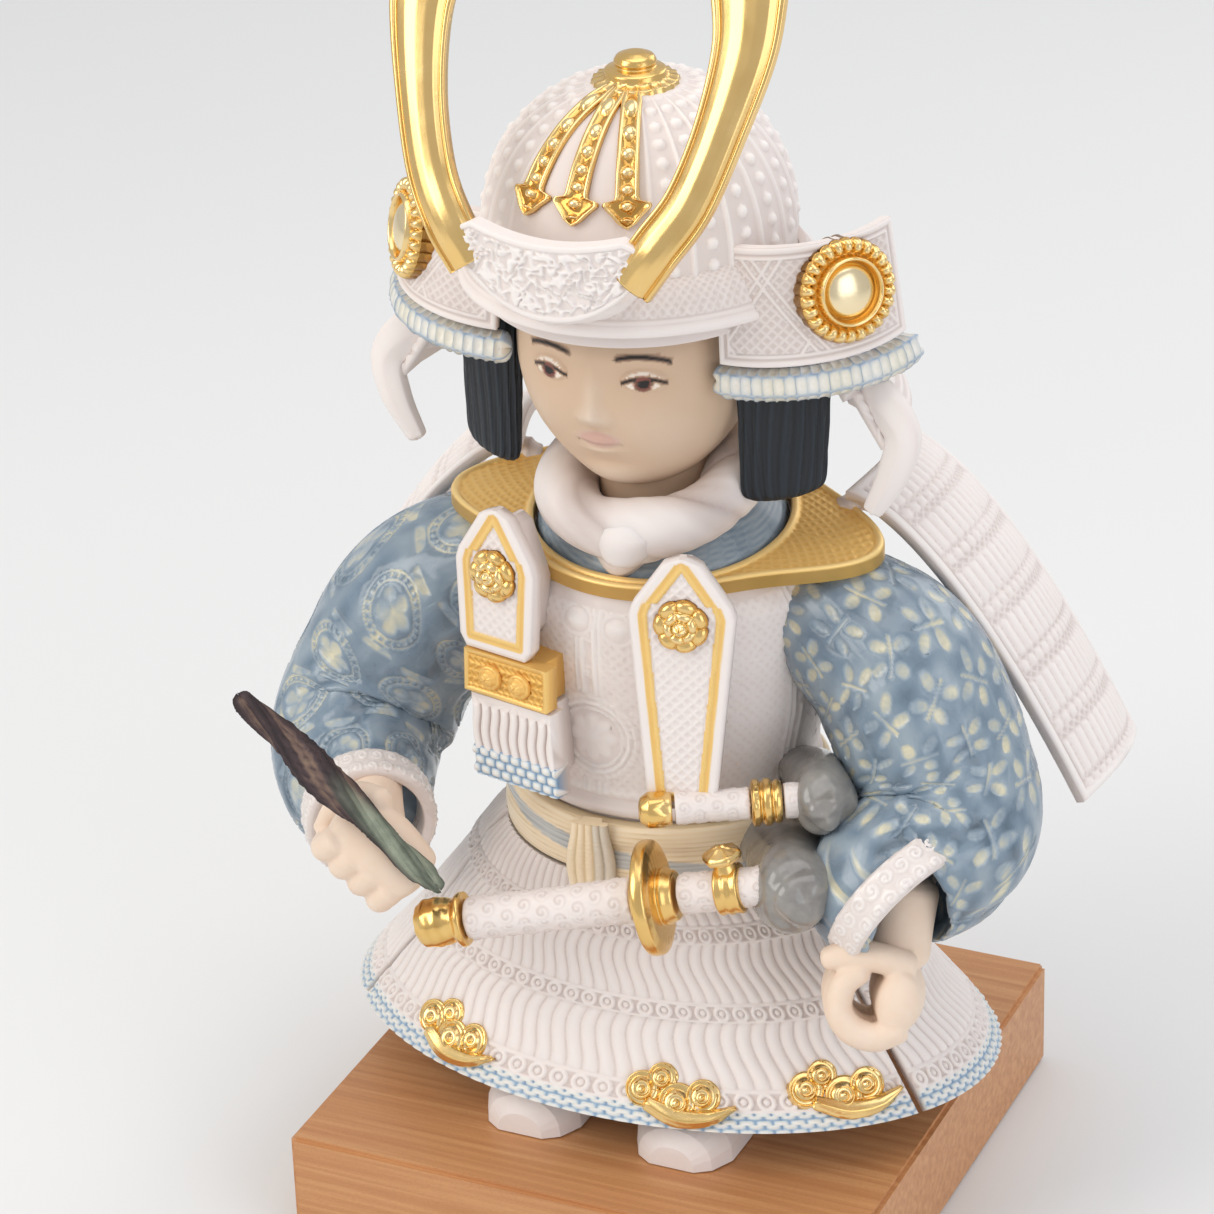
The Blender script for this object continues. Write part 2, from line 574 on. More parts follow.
# Beech: straight fine grain with the short dark flecks of quarter-sawn wood, hand-oiled
def beechLook(values):
    material, tree, output = startLook("oiled_beech", "beech")
    place = node(tree, "ShaderNodeTexCoord").outputs["Object"]
    drawn = node(tree, "ShaderNodeMapping",
                 {"Scale": (1 / (90 * mm), 1 / (2.2 * mm), 1 / (2.2 * mm))},
                 {"Vector": place}).outputs["Vector"]
    grain = node(tree, "ShaderNodeTexNoise", {"Scale": 1.0, "Detail": 5.0, "Distortion": 0.4},
                 {"Vector": drawn}).outputs["Fac"]
    flat = node(tree, "ShaderNodeMapping",
                {"Scale": (1 / (values["fleckLong"] * mm), 1 / (values["fleckWide"] * mm),
                                                      1 / (values["fleckWide"] * mm))},
                {"Vector": place}).outputs["Vector"]
    cells = node(tree, "ShaderNodeTexVoronoi", {"feature": "F1", "Randomness": 1.0},
                 {"Vector": flat})
    fleck = node(tree, "ShaderNodeMapRange",
                 {"From Min": 0.16, "From Max": 0.3, "To Min": 1.0, "To Max": 0.0},
                 {"Value": cells.outputs["Distance"]}).outputs["Result"]
    body = colourRamp(tree, grain, [(0.25, "#B97C4C"), (0.5, "#C98E5C"), (0.8, "#DBA673")])
    mixed = node(tree, "ShaderNodeMix", {"data_type": "RGBA"})
    amount = node(tree, "ShaderNodeMath", {"operation": "MULTIPLY", 1: 0.6}, {0: fleck}).outputs[0]
    tree.links.new(amount, mixed.inputs[0])
    tree.links.new(body, mixed.inputs[6])
    mixed.inputs[7].default_value = linear("#7A4525")
    bump = node(tree, "ShaderNodeBump", {"Strength": 0.25, "Distance": 0.08 * mm},
                {"Height": grain}).outputs["Normal"]
    shader = node(tree, "ShaderNodeBsdfPrincipled",
                  {"Roughness": 0.42, "Coat Weight": 0.15, "Coat Roughness": 0.3},
                  {"Base Color": mixed.outputs[2], "Normal": bump})
    tree.links.new(shader.outputs[0], output.inputs["Surface"])
    return material


beech = beechLook({"fleckLong": 3.2, "fleckWide": 0.7})
print("materials ready")


# Head

head = {"wide": 60.0, "deep": 57.0, "tall": 73.0, "y": -8.0, "rows": 290, "columns": 340,
        "frontPull": 0.62,
        "eyeX": 12.2, "eyeRise": 0.02, "eyeWide": 5.2, "eyeTall": 2.0}


# An egg, p = (cos t w, sin t d, h) with full cheeks, plus soft mounds for nose, lips, chin,
# brows and lids.
def headPatch():
    rise = np.cos(spread(0.02, math.pi - 0.02, head["rows"]))[::-1, None]
    even = turnFull * np.arange(head["columns"])[None] / head["columns"]
    turn = even - head["frontPull"] * np.sin(even - 1.5 * math.pi)
    level = np.sqrt(1 - rise ** 2)
    low = np.maximum(0, -rise)
    c, s = np.cos(turn), np.sin(turn)
    front = np.maximum(0, -s)
    x = c * head["wide"] / 2 * level ** 0.85 * (1 - 0.22 * low ** 2)
    y = s * head["deep"] / 2 * level ** 0.85 * (1 - 0.10 * low ** 2)

    # A bell mirrored on both halves of the face: h exp(-dz^2 - (|x| - middle)^2).
    def mound(height, place, tall, middle, wide):
        return height * np.exp(-((rise - place) / tall) ** 2 - ((np.abs(x) - middle) / wide) ** 2)
    eye = np.clip(1 - ((np.abs(x) - head["eyeX"]) / head["eyeWide"]) ** 2
                  - ((rise - head["eyeRise"]) * head["tall"] / 2 / (head["eyeTall"] * 1.5)) ** 2, 0,
                  1)
    shape = (mound(2.6, -0.25, 0.075, 0, 2.7) + mound(1.5, -0.1, 0.14, 0,
                                                      2.2) + mound(0.9, -0.28, 0.05, 3.4, 1.6)
             + mound(1.3, -0.455, 0.032, 0, 5.0) + mound(1.4, -0.53, 0.035, 0,
                                                         4.4) + mound(2.2, -0.8, 0.12, 0, 8.0)
             + mound(1.2, -0.36, 0.2, 16, 8.0) + mound(0.7, 0.17, 0.045, 12, 6.5)
             - mound(1.7, 0.03, 0.12, 12, 6.0) - mound(0.5, -0.38, 0.05, 0,
                                                       1.3) - mound(0.8, -0.65, 0.05, 0, 6.0))
    shape = shape + 1.5 * np.sqrt(eye)
    lidLine = (rise - head["eyeRise"] - 0.035 + 0.0022 * ((np.abs(x) - head["eyeX"]) ** 2) / 2)
    inEye = np.abs(np.abs(x) - head["eyeX"]) < head["eyeWide"]
    shape = shape + np.where(inEye, 0.4 * np.exp(-(lidLine / 0.02) ** 2), 0)
    mouth = (rise + 0.49 - 0.0006 * x ** 2)
    shape = shape - 0.5 * np.exp(-(mouth / 0.012) ** 2) * (np.abs(x) < 5.6)
    y = y - shape * front ** 2
    points = np.stack([headX + x, head["y"] + y, faceZ + rise * head["tall"] / 2 + 0 * x], -1)
    lift = rise * head["tall"] / 2
    paint = np.zeros(x.shape)
    lash = np.exp(-((lift - 0.9 - 0.66 + 0.055 * (np.abs(x) - head["eyeX"]) ** 2) / 0.42) ** 2) * inEye
    iris = np.clip((2.3 - np.hypot(np.abs(x) - head["eyeX"], lift - 0.2)) / 0.4, 0,
                   1) * (eye > 0.05)
    pupil = np.hypot(np.abs(x) - head["eyeX"], lift - 0.2) < 1.0
    brow = (np.exp(-((lift - 7.0 + 0.03 * (np.abs(x) - 11) ** 2) / 0.5) ** 2)
            * (np.abs(np.abs(x) - 12) < 6.2))
    lips = np.clip(1.6 - (np.abs(x) / 5.2) ** 2 - ((lift + 16.2) / 2.1) ** 2, 0, 1)
    facing = front > 0.45
    paint = np.maximum.reduce([np.clip(1.6 * lash, 0, 1), iris, np.clip(1.5 * brow, 0, 1),
                               0.6 * lips]) * facing
    white = np.where((eye > 0.4) & facing, 0.9, 0.5 + 0.05 * shape)
    inked = np.where((iris > 0.3) & ~pupil, 0.47, 0.1)
    shade = np.where(lips * facing > 0.1, 0.5 + 0.3 * np.clip(lips, 0, 1),
                     np.where(paint > 0.05, inked, white))
    return patch(points, True, False, shade, paint)


# The neck as an open upright tube, tipped with the collar: z + 0.17 r sin t.
def neckPatch():
    z = spread(neckZ + 11, faceZ - 20, 20)[:, None]
    turn = turnFull * np.arange(80)[None] / 80
    points = np.stack([14.6 * np.cos(turn) + 0 * z, -2 + 13.8 * np.sin(turn) + 0 * z,
                       z + 0.17 * 14 * np.sin(turn)], -1)
    return patch(points, True)


addPiece("boyHead", [headPatch(), neckPatch()], flesh, ["head"])

hair = {"wide": 25.0, "thick": 11.0, "long": 50.0, "x": 38.5, "y": -10.0, "strands": 9}


# A flat lock: an ellipse carried down, its edge grooved by (1 + a |cos(n t)|) and combed along
# its length.
def hairPatch(sign):
    v = spread(0, 1, 130)[:, None]
    turn = turnFull * np.arange(180)[None] / 180
    comb = 0.06 * np.abs(np.cos(hair["strands"] * turn + 0.5 * np.sin(5 * v)))
    fine = 0.012 * np.cos(46 * turn + 2.5 * np.sin(7 * v + 3 * turn))
    close = np.sqrt(np.clip(1 - (2 * v - 1) ** 20, 0.0004, 1))
    half = hair["wide"] / 2 * (1 - 0.12 * v) * close
    thick = hair["thick"] / 2 * (1 - 0.35 * v) * close
    along = np.cos(turn) * half * (0.97 - comb + fine)
    across = np.sin(turn) * thick * (1.0 - 1.6 * comb + 2 * fine)
    x = hair["x"] + along * 0.86 + across * 0.5
    y = hair["y"] + along * 0.5 - across * 0.86 - 2.0 * v
    z = helmetZ - 12.0 - hair["long"] * v + 0.1 * along * v
    points = np.stack([headX + sign * x, y, z], -1)
    shade = np.clip(0.75 - 5 * comb + 9 * fine, 0, 1) + 0 * v
    made = patch(points, True, False, shade)
    return flipped(made) if sign > 0 else made


for side, sign in (("left", 1), ("right", -1)):
    addPiece("hairLock_" + side, [hairPatch(sign)], hairPaint, ["hair_" + side])

scarf = {"wide": 42.0, "deep": 38.0, "roll": 16.5, "y": -9.0}


# The rolled scarf: a ring whose section r (1 + folds) winds slowly round, and the flat knot in
# front.
def scarfPatches():
    turn = turnFull * np.arange(320)[:, None] / 320
    a = turnFull * np.arange(72)[None] / 72
    c, s = np.cos(turn), np.sin(turn)
    lift = neckZ + 16.0
    centre = np.stack([1.5 + c * scarf["wide"] / 2, scarf["y"] + s * scarf["deep"] / 2,
                       lift + 5.5 * s + 1.5 * c], -1)
    out = np.stack([c, s, 0 * c + 0.25], -1)
    out /= np.linalg.norm(out, axis=-1, keepdims=True)
    wind = a + 0.9 * np.sin(turn) + 2.5 * turn
    folds = (0.05 * np.cos(5 * turn) + 0.11 * np.abs(np.cos(wind)) ** 0.6
             + 0.008 * np.cos(7 * wind + 3 * turn))
    r = scarf["roll"] / 2 * (0.92 + folds)
    points = (centre + out * (r * np.cos(a))[..., None]
              + np.array([0, 0, 1.0]) * (r * np.sin(a))[..., None])
    ring = patch(points, True, True, np.clip(0.25 + 2.6 * folds, 0, 1))
    low, front = lift - 5.5, scarf["y"] - scarf["deep"] / 2
    path = finePath([(-3, front + 1, low - 3, 3, 5), (3, front - 3.2, low - 1, 6, 7.2),
                     (9, front - 2.2, low + 3, 5, 6.2),
                     (15, front + 3, low + 5, 3, 4)], 70)

    # Folds that wind along the knot, |cos 3 pi u + 3 v|, and finer creases across it.
    def folded(u, v):
        return (0.5 * np.abs(np.cos(turnFull * 1.5 * u + 3 * v))
                + 0.06 * np.cos(turnFull * 7 * u + 9 * v))
    knot = tube(path[:, :3], path[:, 3], path[:, 4], 90, height=folded)
    return [flipped(ring), knot]


addPiece("neckScarf", scarfPatches(), bisque, ["neck_scarf"])


# The blue collar, a cone between two ovals, with a rolled top, and the cream V that crosses
# over it.
def collarPatches():
    wide, deep = neckWide - 2 * 4.5 - 2 * clear, neckDeep - 2 * 4.5 - 2 * clear
    profile = rounded(evenSteps([(0, 0, 0.02), (0, 0, 1), (3, 0.05, 0.97), (8.5, 0.5, 0.8),
                                 (12.2, 0.95, 0.64),
                                 (13, 1, 0.5), (13, 1, 0.02)], 0.5))
    h, share, size = profile.T[:, :, None]
    turn = turnFull * np.arange(260)[None] / 260
    points = np.stack([np.cos(turn) * wide / 2 * size,
                       np.sin(turn) * deep / 2 * size * (1 + 0.03 * share),
                       neckZ + clear + h + neckSlope * np.sin(turn) * deep / 2 * size], -1)
    weave = 0.1 * wave(np.hypot(points[..., 0], points[..., 1]) / 0.9)
    return [embossed(points, weave, True, shade=0.25 + 2.2 * weave)]


# A thin white roll from shoulder to shoulder that dips at the throat.
def vCollar():
    base = neckZ + clear
    front = -(neckDeep - 2 * 4.5 - 2 * clear) / 2
    path = finePath([(-16.8, -16, base + 10), (-8, front * 0.82, base + 5.5),
                     (0, front + 1.2, base - 1.0), (8, front * 0.82, base + 5.5),
                     (16.8, -16, base + 10)], 120)
    return tube(path, 2.1, 2.3, 48, height=lambda u, v: 0.12 * wave(9 * u))


addPiece("kimonoCollar", collarPatches(), blueGlaze, ["kimono_collar"])
addPiece("whiteCollar", [vCollar()], bisque, ["inner_collar"])

yoke = {"span": 114.0, "rim": 4.5, "thick": 4.0, "weave": 3.0}


# The gilded neckline: the section is carried round the neck and widens by exp(-((side - 92) /
# 27)^2).
def yokePatch():
    turn = turnFull * np.arange(620)[:, None] / 620
    c, s = np.cos(turn), np.sin(turn)
    level = neckZ + neckSlope * s * neckDeep / 2 + clear
    side = np.abs(np.degrees(np.arctan2(c, -s)))
    wideBy = (yoke["span"] - neckWide) / 2 * np.exp(-((side - 92) / 27) ** 2)
    inner = np.stack([c * (neckWide / 2 - yoke["rim"]), s * (neckDeep / 2 - yoke["rim"])], -1)
    outer = np.stack([c * (neckWide / 2 + 0.8 + wideBy), s * (neckDeep / 2 + 0.8 + 0.6 * wideBy)],
                     -1)
    drop = 0.13 * wideBy
    share = np.concatenate([np.zeros(6), spread(0, 1, 60), np.ones(6),
                            spread(1, 0, 10)[1:-1]])[None]
    rise = np.concatenate([spread(0, 1, 6), np.ones(60), spread(1, 0, 6), np.zeros(8)])[None]
    reach = np.hypot(*(outer - inner).transpose(2, 0, 1))
    across = share * reach
    edge = np.minimum(across, reach - across)
    top = (np.arange(share.shape[1])[None] > 5) & (np.arange(share.shape[1])[None] < 66)
    rim = dome(edge - 1.1, 1.1) * 0.9
    around = turn * neckWide / 2
    basket = np.maximum(np.abs(np.cos(math.pi * (around + across) / yoke["weave"])),
                        np.abs(np.cos(math.pi * (around - across) / yoke["weave"]))) ** 3
    height = np.where(top, np.where(edge < 2.2, rim, 0.3 * basket - 0.1), 0)
    xy = inner[:, 0][:, None] * (1 - share[..., None]) + outer[:, 0][:, None] * share[..., None]
    z = level + rise * (yoke["thick"] - 0.9) - drop * share
    points = np.concatenate([xy, (z + np.where(top, height, 0))[..., None]], -1)
    return patch(points, True, True, np.clip(0.55 + 0.5 * height, 0, 1) + 0 * share)


addPiece("goldYoke", [flipped(yokePatch())], mattGilding, ["gold_yoke"])
print("head and neck ready")


# Helmet

# Half width and half depth of the bowl at a height: w (1 - t^2.3)^(1/2.1).
def bowlSize(z):
    rise = np.clip((np.asarray(z, float) - helmetZ) / helmetTall, 0, 1)
    share = np.maximum(1 - rise ** 2.3, 1e-6) ** (1 / 2.1)
    return helmetWide / 2 * share, helmetDeep / 2 * share


bowl = {"ribs": 24, "rivetPitch": 5.2, "rivet": 1.5, "plain": 34.0}


# The ribbed bowl: rings at even arc steps, upright ribs and rows of rivets fading out at the
# plain front.
def bowlPatches():
    foot = helmetZ - 0.35 * helmetTall
    steep = np.sin(spread(0, math.pi / 2, 96)) ** 1.0
    z = np.concatenate([spread(foot, helmetZ, 18)[:-1],
                        helmetZ + helmetTall * 0.985 * steep])[:, None]
    a, b = bowlSize(z)
    turn = turnFull * np.arange(560)[None] / 560
    side = np.degrees(turn) - 270
    plain = np.exp(-(side / bowl["plain"]) ** 4)
    pitch = turnFull / bowl["ribs"]
    inRib = cell(turn, pitch) / pitch
    rib = np.maximum(0, 1 - (np.abs(np.abs(inRib) - 0.5) / 0.09) ** 2)
    arc = np.concatenate([[[0]], np.cumsum(np.hypot(np.diff(z[:, 0]), np.diff(b[:, 0])))[:, None]])
    rivet = dome(np.hypot(inRib * pitch * a, cell(arc, bowl["rivetPitch"])), bowl["rivet"])
    inside = (z > helmetZ + 2.5) * np.clip((a - 9) / 6, 0, 1)
    height = (0.75 * rib + 1.05 * rivet) * (1 - plain) * inside * np.clip(a / 20, 0.3, 1)
    rimRoll = 0.5 * dome(z - helmetZ - 0.8, 1.4)
    points = np.stack([headX + np.cos(turn) * a, headY + np.sin(turn) * b, z + 0 * turn], -1)
    normal = outward(points, True)
    shade = np.clip(0.42 + 0.4 * height, 0, 1)
    points = points + normal * (height + rimRoll + 0.12 * uneven(points, 14, 3) - 0.35)[..., None]
    outerShell = patch(points, True, False, shade)
    innerShell = flipped(patch(np.stack([headX + 0.93 * np.cos(turn) * a[:20],
                                         headY + 0.93 * np.sin(turn) * b[:20],
                                         z[:20] + 0 * turn], -1), True))
    lip = patch(np.stack([innerShell["points"].reshape(20, -1, 3)[0], points[0]]), True)
    return [outerShell, innerShell, lip]


addPiece("helmetBowl", bowlPatches(), bisque, ["helmet_bowl"])

visor = {"reach": 52.0, "wide": 88.0, "drop": 12.0, "thick": 2.4, "hatch": 1.7}


# The brim: from the bowl's foot to a rolled rim, crosshatched, dropping by v^1.3.
def visorPatches():
    u, v = np.meshgrid(spread(-1, 1, 230), spread(0, 1, 46))
    turn = math.radians(77) * u
    a, b = bowlSize(helmetZ)
    c, s = np.sin(turn), np.cos(turn)
    reach = visor["reach"] - 6.0 * (1 - s)
    x = c * ((a - 1.1) * (1 - v) + visor["wide"] / 2 * v)
    y = headY - s * ((b - 1.1) * (1 - v) + (reach + headY) * v)
    z = helmetZ + 3.5 + 1.6 * np.sin(math.pi * v) - visor["drop"] * v ** 1.3 - 2.0 * (1 - s) * v
    points = np.stack([headX + x, y, z], -1)
    around, out = turn * 46, v * 15
    hatch = lattice(around, out, visor["hatch"]) * (v < 0.8) * 0.28
    roll = 0.55 * dome(v - 0.94, 0.06) + 0.3 * dome(v - 0.84, 0.03)
    height = hatch + roll
    return plate(points[::-1], height[::-1], visor["thick"],
                 shade=np.clip(0.36 + 0.55 * height[::-1], 0, 1))


addPiece("helmetVisor", visorPatches(), bisque, ["helmet_visor"])

crescent = {"reach": 60.0, "wide": 53.0, "tall": 19.0, "thick": 4.5}


# The crescent between the horns: low edge 16.5 t^2.2, high edge bowed up, scrolls inside a
# smooth rim.
def crescentPatches():
    t, v = np.meshgrid(spread(-1, 1, 180), spread(0, 1, 70))
    far = np.abs(t)
    low = 16.5 * far ** 2.2
    high = crescent["tall"] + 5.0 * far ** 2 - 6.0 * np.maximum(0, far - 0.72) / 0.28
    high = np.maximum(high, low + 3)
    across = t * crescent["wide"] / 2
    up = low + (high - low) * v
    points = np.stack([headX + across, -crescent["reach"] + 4.0 * t ** 2, helmetZ - 2.0 + up], -1)
    edge = np.minimum(np.minimum(v, 1 - v) * (high - low), (1 - far) * 26)
    inside = np.clip((edge - 1.5) / 0.6, 0, 1)
    roll = dome(edge - 0.9, 0.9) * 0.7
    fade = np.clip((0.86 - far) / 0.06, 0, 1)
    height = np.where(edge < 1.4, 0.6 * roll, 0.8 * tendrils(across, up, 9.0) * inside * fade) + 0.1
    shade = np.clip(0.42 + 0.42 * height, 0, 1)
    front = plate(points, height, crescent["thick"] - 1, shade=shade)
    shelfPath = np.stack([0 * spread(0, 1, 24) + headX, spread(-57.5, -39.5, 24),
                          0 * spread(0, 1, 24) + helmetZ + 1.6], -1)
    swell = np.sqrt(np.clip(1 - (spread(-1, 1, 24)) ** 4, 0.05, 1))
    shelf = tube(shelfPath, 17.0 * swell, 5.6, 120, height=lambda u, v: 0.15 * wave(24 * u))
    return front + [shelf]


addPiece("hornBase", crescentPatches(), bisque, ["horn_base"])

horn = {"rise": 71.6, "wide": 12.0, "thick": 4.8}


# A horn: a rounded face between two thin edge beads, widening upwards to a notched tip.
def hornPatch(sign):
    half, z0, y0 = crescent["wide"] / 2, helmetZ + 0.72 * crescent["tall"], -crescent["reach"] + 3.4
    rise = horn["rise"]
    spine = finePath([(half - 6.5, y0, z0 - 5, 1.0), (half - 0.5, y0 + 1, z0 + 4, 1.0),
                      (half + 6, y0 + 6, z0 + 0.2 * rise, 1.0),
                      (half + 11, y0 + 13, z0 + 0.42 * rise, 1.05),
                      (half + 14, y0 + 21, z0 + 0.66 * rise, 1.3),
                      (half + 13, y0 + 27, z0 + 0.86 * rise, 1.6)], 150)
    across, lift, ahead = alongPath(spine[:, :3], (0, -1, 0.25))
    w = (horn["wide"] / 2 * spine[:, 3])[:, None, None]
    outline = rounded(evenSteps([(-1, -0.6), (-1, 0.34), (-0.88, 0.46), (-0.8, 0.2), (-0.64, 0.74),
                                 (-0.36, 1.06),
                                 (0, 1.18), (0.36, 1.06), (0.64, 0.74), (0.8, 0.2), (0.88, 0.46),
                                 (1, 0.34),
                                 (1, -0.6), (0.5, -1), (-0.5, -1), (-1, -0.6)], 0.04)[:-1], 3)
    ex, ey = outline.T[:, None, :, None]
    middle = spine[:, None, :3]
    thick = horn["thick"] / 2
    points = middle + across[:, None] * ex * w + lift[:, None] * ey * thick
    tip = np.clip((spread(0, 1, 150)[:, None] - 0.985) / 0.015, 0, 1)
    points = points + ahead[:, None] * (tip * 2.5 * np.sin(ex[..., 0] * 2.2))[..., None]
    points = np.concatenate([points[:1].mean(1, keepdims=True) + 0 * points[:1], points,
                             points[-1:].mean(1, keepdims=True) + 0 * points[-1:]])
    points[..., 0] = headX + sign * points[..., 0]
    made = patch(points, True, False, 0.58)
    return flipped(made) if sign < 0 else made


for side, sign in (("left", 1), ("right", -1)):
    addPiece("horn_" + side + "_gilt", [hornPatch(sign)], gilding, ["horn_" + side])

crown = {"strip": 5.8, "thick": 1.8, "ring": 7.5, "tall": 6.0, "stud": 1.45, "studPitch": 4.9}


# A strip up the bowl: arrow-shaped foot, raised rims and a row of dome studs.
def stripPatches(turnAt):
    v, u = np.meshgrid(spread(0, 1, 110), spread(-1, 1, 34), indexing="ij")
    half = np.interp(v, [0, 0.05, 0.12, 0.2, 0.235, 0.26, 0.3, 0.5, 0.72, 0.88, 1],
                     [0.1, 0.75, 1.25, 1.95, 1.9, 1.05, 0.95, 0.92, 0.86, 0.8, 0.8])
    foot, top = helmetZ + 0.40 * helmetTall, helmetZ + 0.985 * helmetTall
    z = foot + v * (top - foot)
    a, b = bowlSize(z)
    wide = half * crown["strip"] / 2
    turn = np.radians(turnAt) + u * wide / np.maximum(a, 12)
    points = np.stack([headX + np.sin(turn) * (a + 0.7), headY - np.cos(turn) * (b + 0.7), z], -1)
    length = v * 34
    rim = dome((1 - np.abs(u)) * wide - 0.6, 0.6) * 0.5
    studs = dome(np.hypot(u * wide, cell(length + 0.4, crown["studPitch"])),
                 crown["stud"]) * 1.1 * (v > 0.08)
    hollow = -0.3 * np.clip((1 - np.abs(u)) * wide - 1.2, 0, 1) * (studs < 0.05)
    height = np.maximum(rim, studs) + hollow + 0.2
    return plate(points, height, 1.0, shade=np.clip(0.35 + 0.5 * height, 0, 1))


# The finial, turned about the upright axis, and three studded strips down the bowl.
def crownPatches():
    top = helmetZ + helmetTall
    r, h = crown["ring"], crown["tall"]
    profile = [(-3.3, 1.48 * r), (-0.2, 1.38 * r), (0.02 * h, 1.1 * r), (0.1 * h, 0.99 * r),
               (0.3 * h, 0.99 * r), (0.45 * h, 0.62 * r), (0.62 * h, 0.7 * r),
               (0.85 * h, 0.6 * r), (h, 0.28 * r)]

    # Twenty petals around the finial's foot, |cos 10 t|.
    def petals(t, s):
        return 0.35 * np.abs(np.cos(10 * t)) * (s < 0.5)
    finial = turned((headX, headY, top), (0, 0, 1), profile, 200, 0.3, petals, up=(0, 1, 0))
    strips = [piece for turnAt in (-21, 0, 21) for piece in stripPatches(turnAt)]
    return [finial] + strips


addPiece("crownCrest", crownPatches(), gilding, ["crown_crest"])


wing = {"long": 50.0, "tall": 29.5, "curl": 92.0, "start": -12.0, "thick": 2.6, "lattice": 1.9,
        "diagonal": 22.0, "braid": 9.0, "braidLong": 52.0, "lump": 2.5, "rosetteU": 0.66,
        "rosetteV": 0.56}


# The turned-back plate on the figure's left: an arc r (sin t, -cos t) in plan, u outwards, v
# upwards.
def wingAt(u, v):
    first = math.radians(wing["start"])
    radius = (wing["long"] - 5.0 * v) / math.radians(wing["curl"])
    turn = first + math.radians(wing["curl"]) * u
    x = 29.0 - 1.5 * v + radius * (np.sin(turn) - math.sin(first))
    y = (-27.0 + 2.0 * v + radius * (math.cos(first) - np.cos(turn))
         + 4.0 * v * np.maximum(u, 0) ** 1.6)
    z = helmetZ - 22.0 + 4.0 * u + (wing["tall"] - 2.5 * u) * v
    return np.stack([x + 0 * v, y, z], -1)


# The plate: fine lattice, a double diagonal band, border lines and small rivets; a root arm to
# the bowl.
def wingPatches(sign):
    u, v = np.meshgrid(spread(0, 1, 150), spread(0, 1, 104))
    points = wingAt(u, v)
    wide, tall, every = wing["long"] - 2, wing["tall"], wing["diagonal"]
    x, y = u * wide, v * tall
    edge = np.minimum.reduce([x, wide - x, y, tall - y])
    border = np.maximum(0.5 * dome(edge - 0.8, 0.8), 0.45 * dome(edge - 2.7, 0.45))
    rising, falling = cell(x + 0.7 * y + 6, every), cell(x - 0.7 * y + 14, every)
    slant = np.minimum(np.abs(np.abs(rising) - 1.3),
                       np.abs(np.abs(falling) - 1.3) + 9 * (x > every))
    bands = dome(slant, 0.55) * (edge > 3)
    far = np.hypot(cell(y - 3.5, every), x - wide + 5.4)
    rivets = np.maximum(dome(far, 0.8), dome(far - 1.5, 0.5)) * (edge > 3)
    field = 0.24 * lattice(x, y, wing["lattice"]) * (edge > 3.2) * (slant > 0.8)
    height = np.maximum.reduce([border, 0.4 * bands, 0.7 * rivets, field])
    faces = plate(points, height, wing["thick"], shade=np.clip(0.33 + 0.62 * height, 0, 1))
    path = finePath([(25, -9, helmetZ - 9, 4.6, 6.4), (32, -20, helmetZ - 8, 4.6, 7.4),
                     (34, -24, helmetZ - 7, 3.4, 7.2)], 30)
    arm = tube(path[:, :3], path[:, 3], path[:, 4], 60)
    return besideHead(faces + [arm], sign)


# Three rows of laced lumps along the plate's lower edge, |cos| beads on a thick roll: tops
# break to cream.
def braidPatches(sign):
    u = spread(0.0, 1.0, 300)
    base = wingAt(u, 0 * u)
    path = base + np.array([0, 2.6, -0.62 * wing["braid"]])
    columns = 64
    turn = turnFull * np.arange(columns) / columns
    ends = 4
    along = np.concatenate([np.zeros((ends, 1)), u[:, None] * wing["braidLong"],
                            np.full((ends, 1), wing["braidLong"])])

    # Height of the lumps from the share of a turn around the roll.
    def lumps(share, _):
        angle = turnFull * share
        row = np.abs(np.sin(2.5 * angle + 0.4))
        side = np.floor((2.5 * angle + 0.4) / math.pi) % 2
        bead = np.abs(np.cos(math.pi * (along / wing["lump"] + 0.5 * side)))
        swell = 0.9 + 0.25 * np.sin(along * 1.7 + 3 * side)
        return (1.3 * row * bead ** 0.6 - 0.5) * swell
    tone = 0.3 + 0.3 * np.sin(along * 0.42 + 2.0) + 0 * turn[None]
    made = tube(path, 3.4, wing["braid"] / 2 - 0.5, columns, up=(0, -0.3, 1), height=lumps,
                tone=tone)
    made["relief"] = np.clip(made["relief"] * 1.1 - 0.06, 0, 1)
    return besideHead([made], sign)


rosette = {"radius": 12.6, "thick": 4.2, "petals": 26}


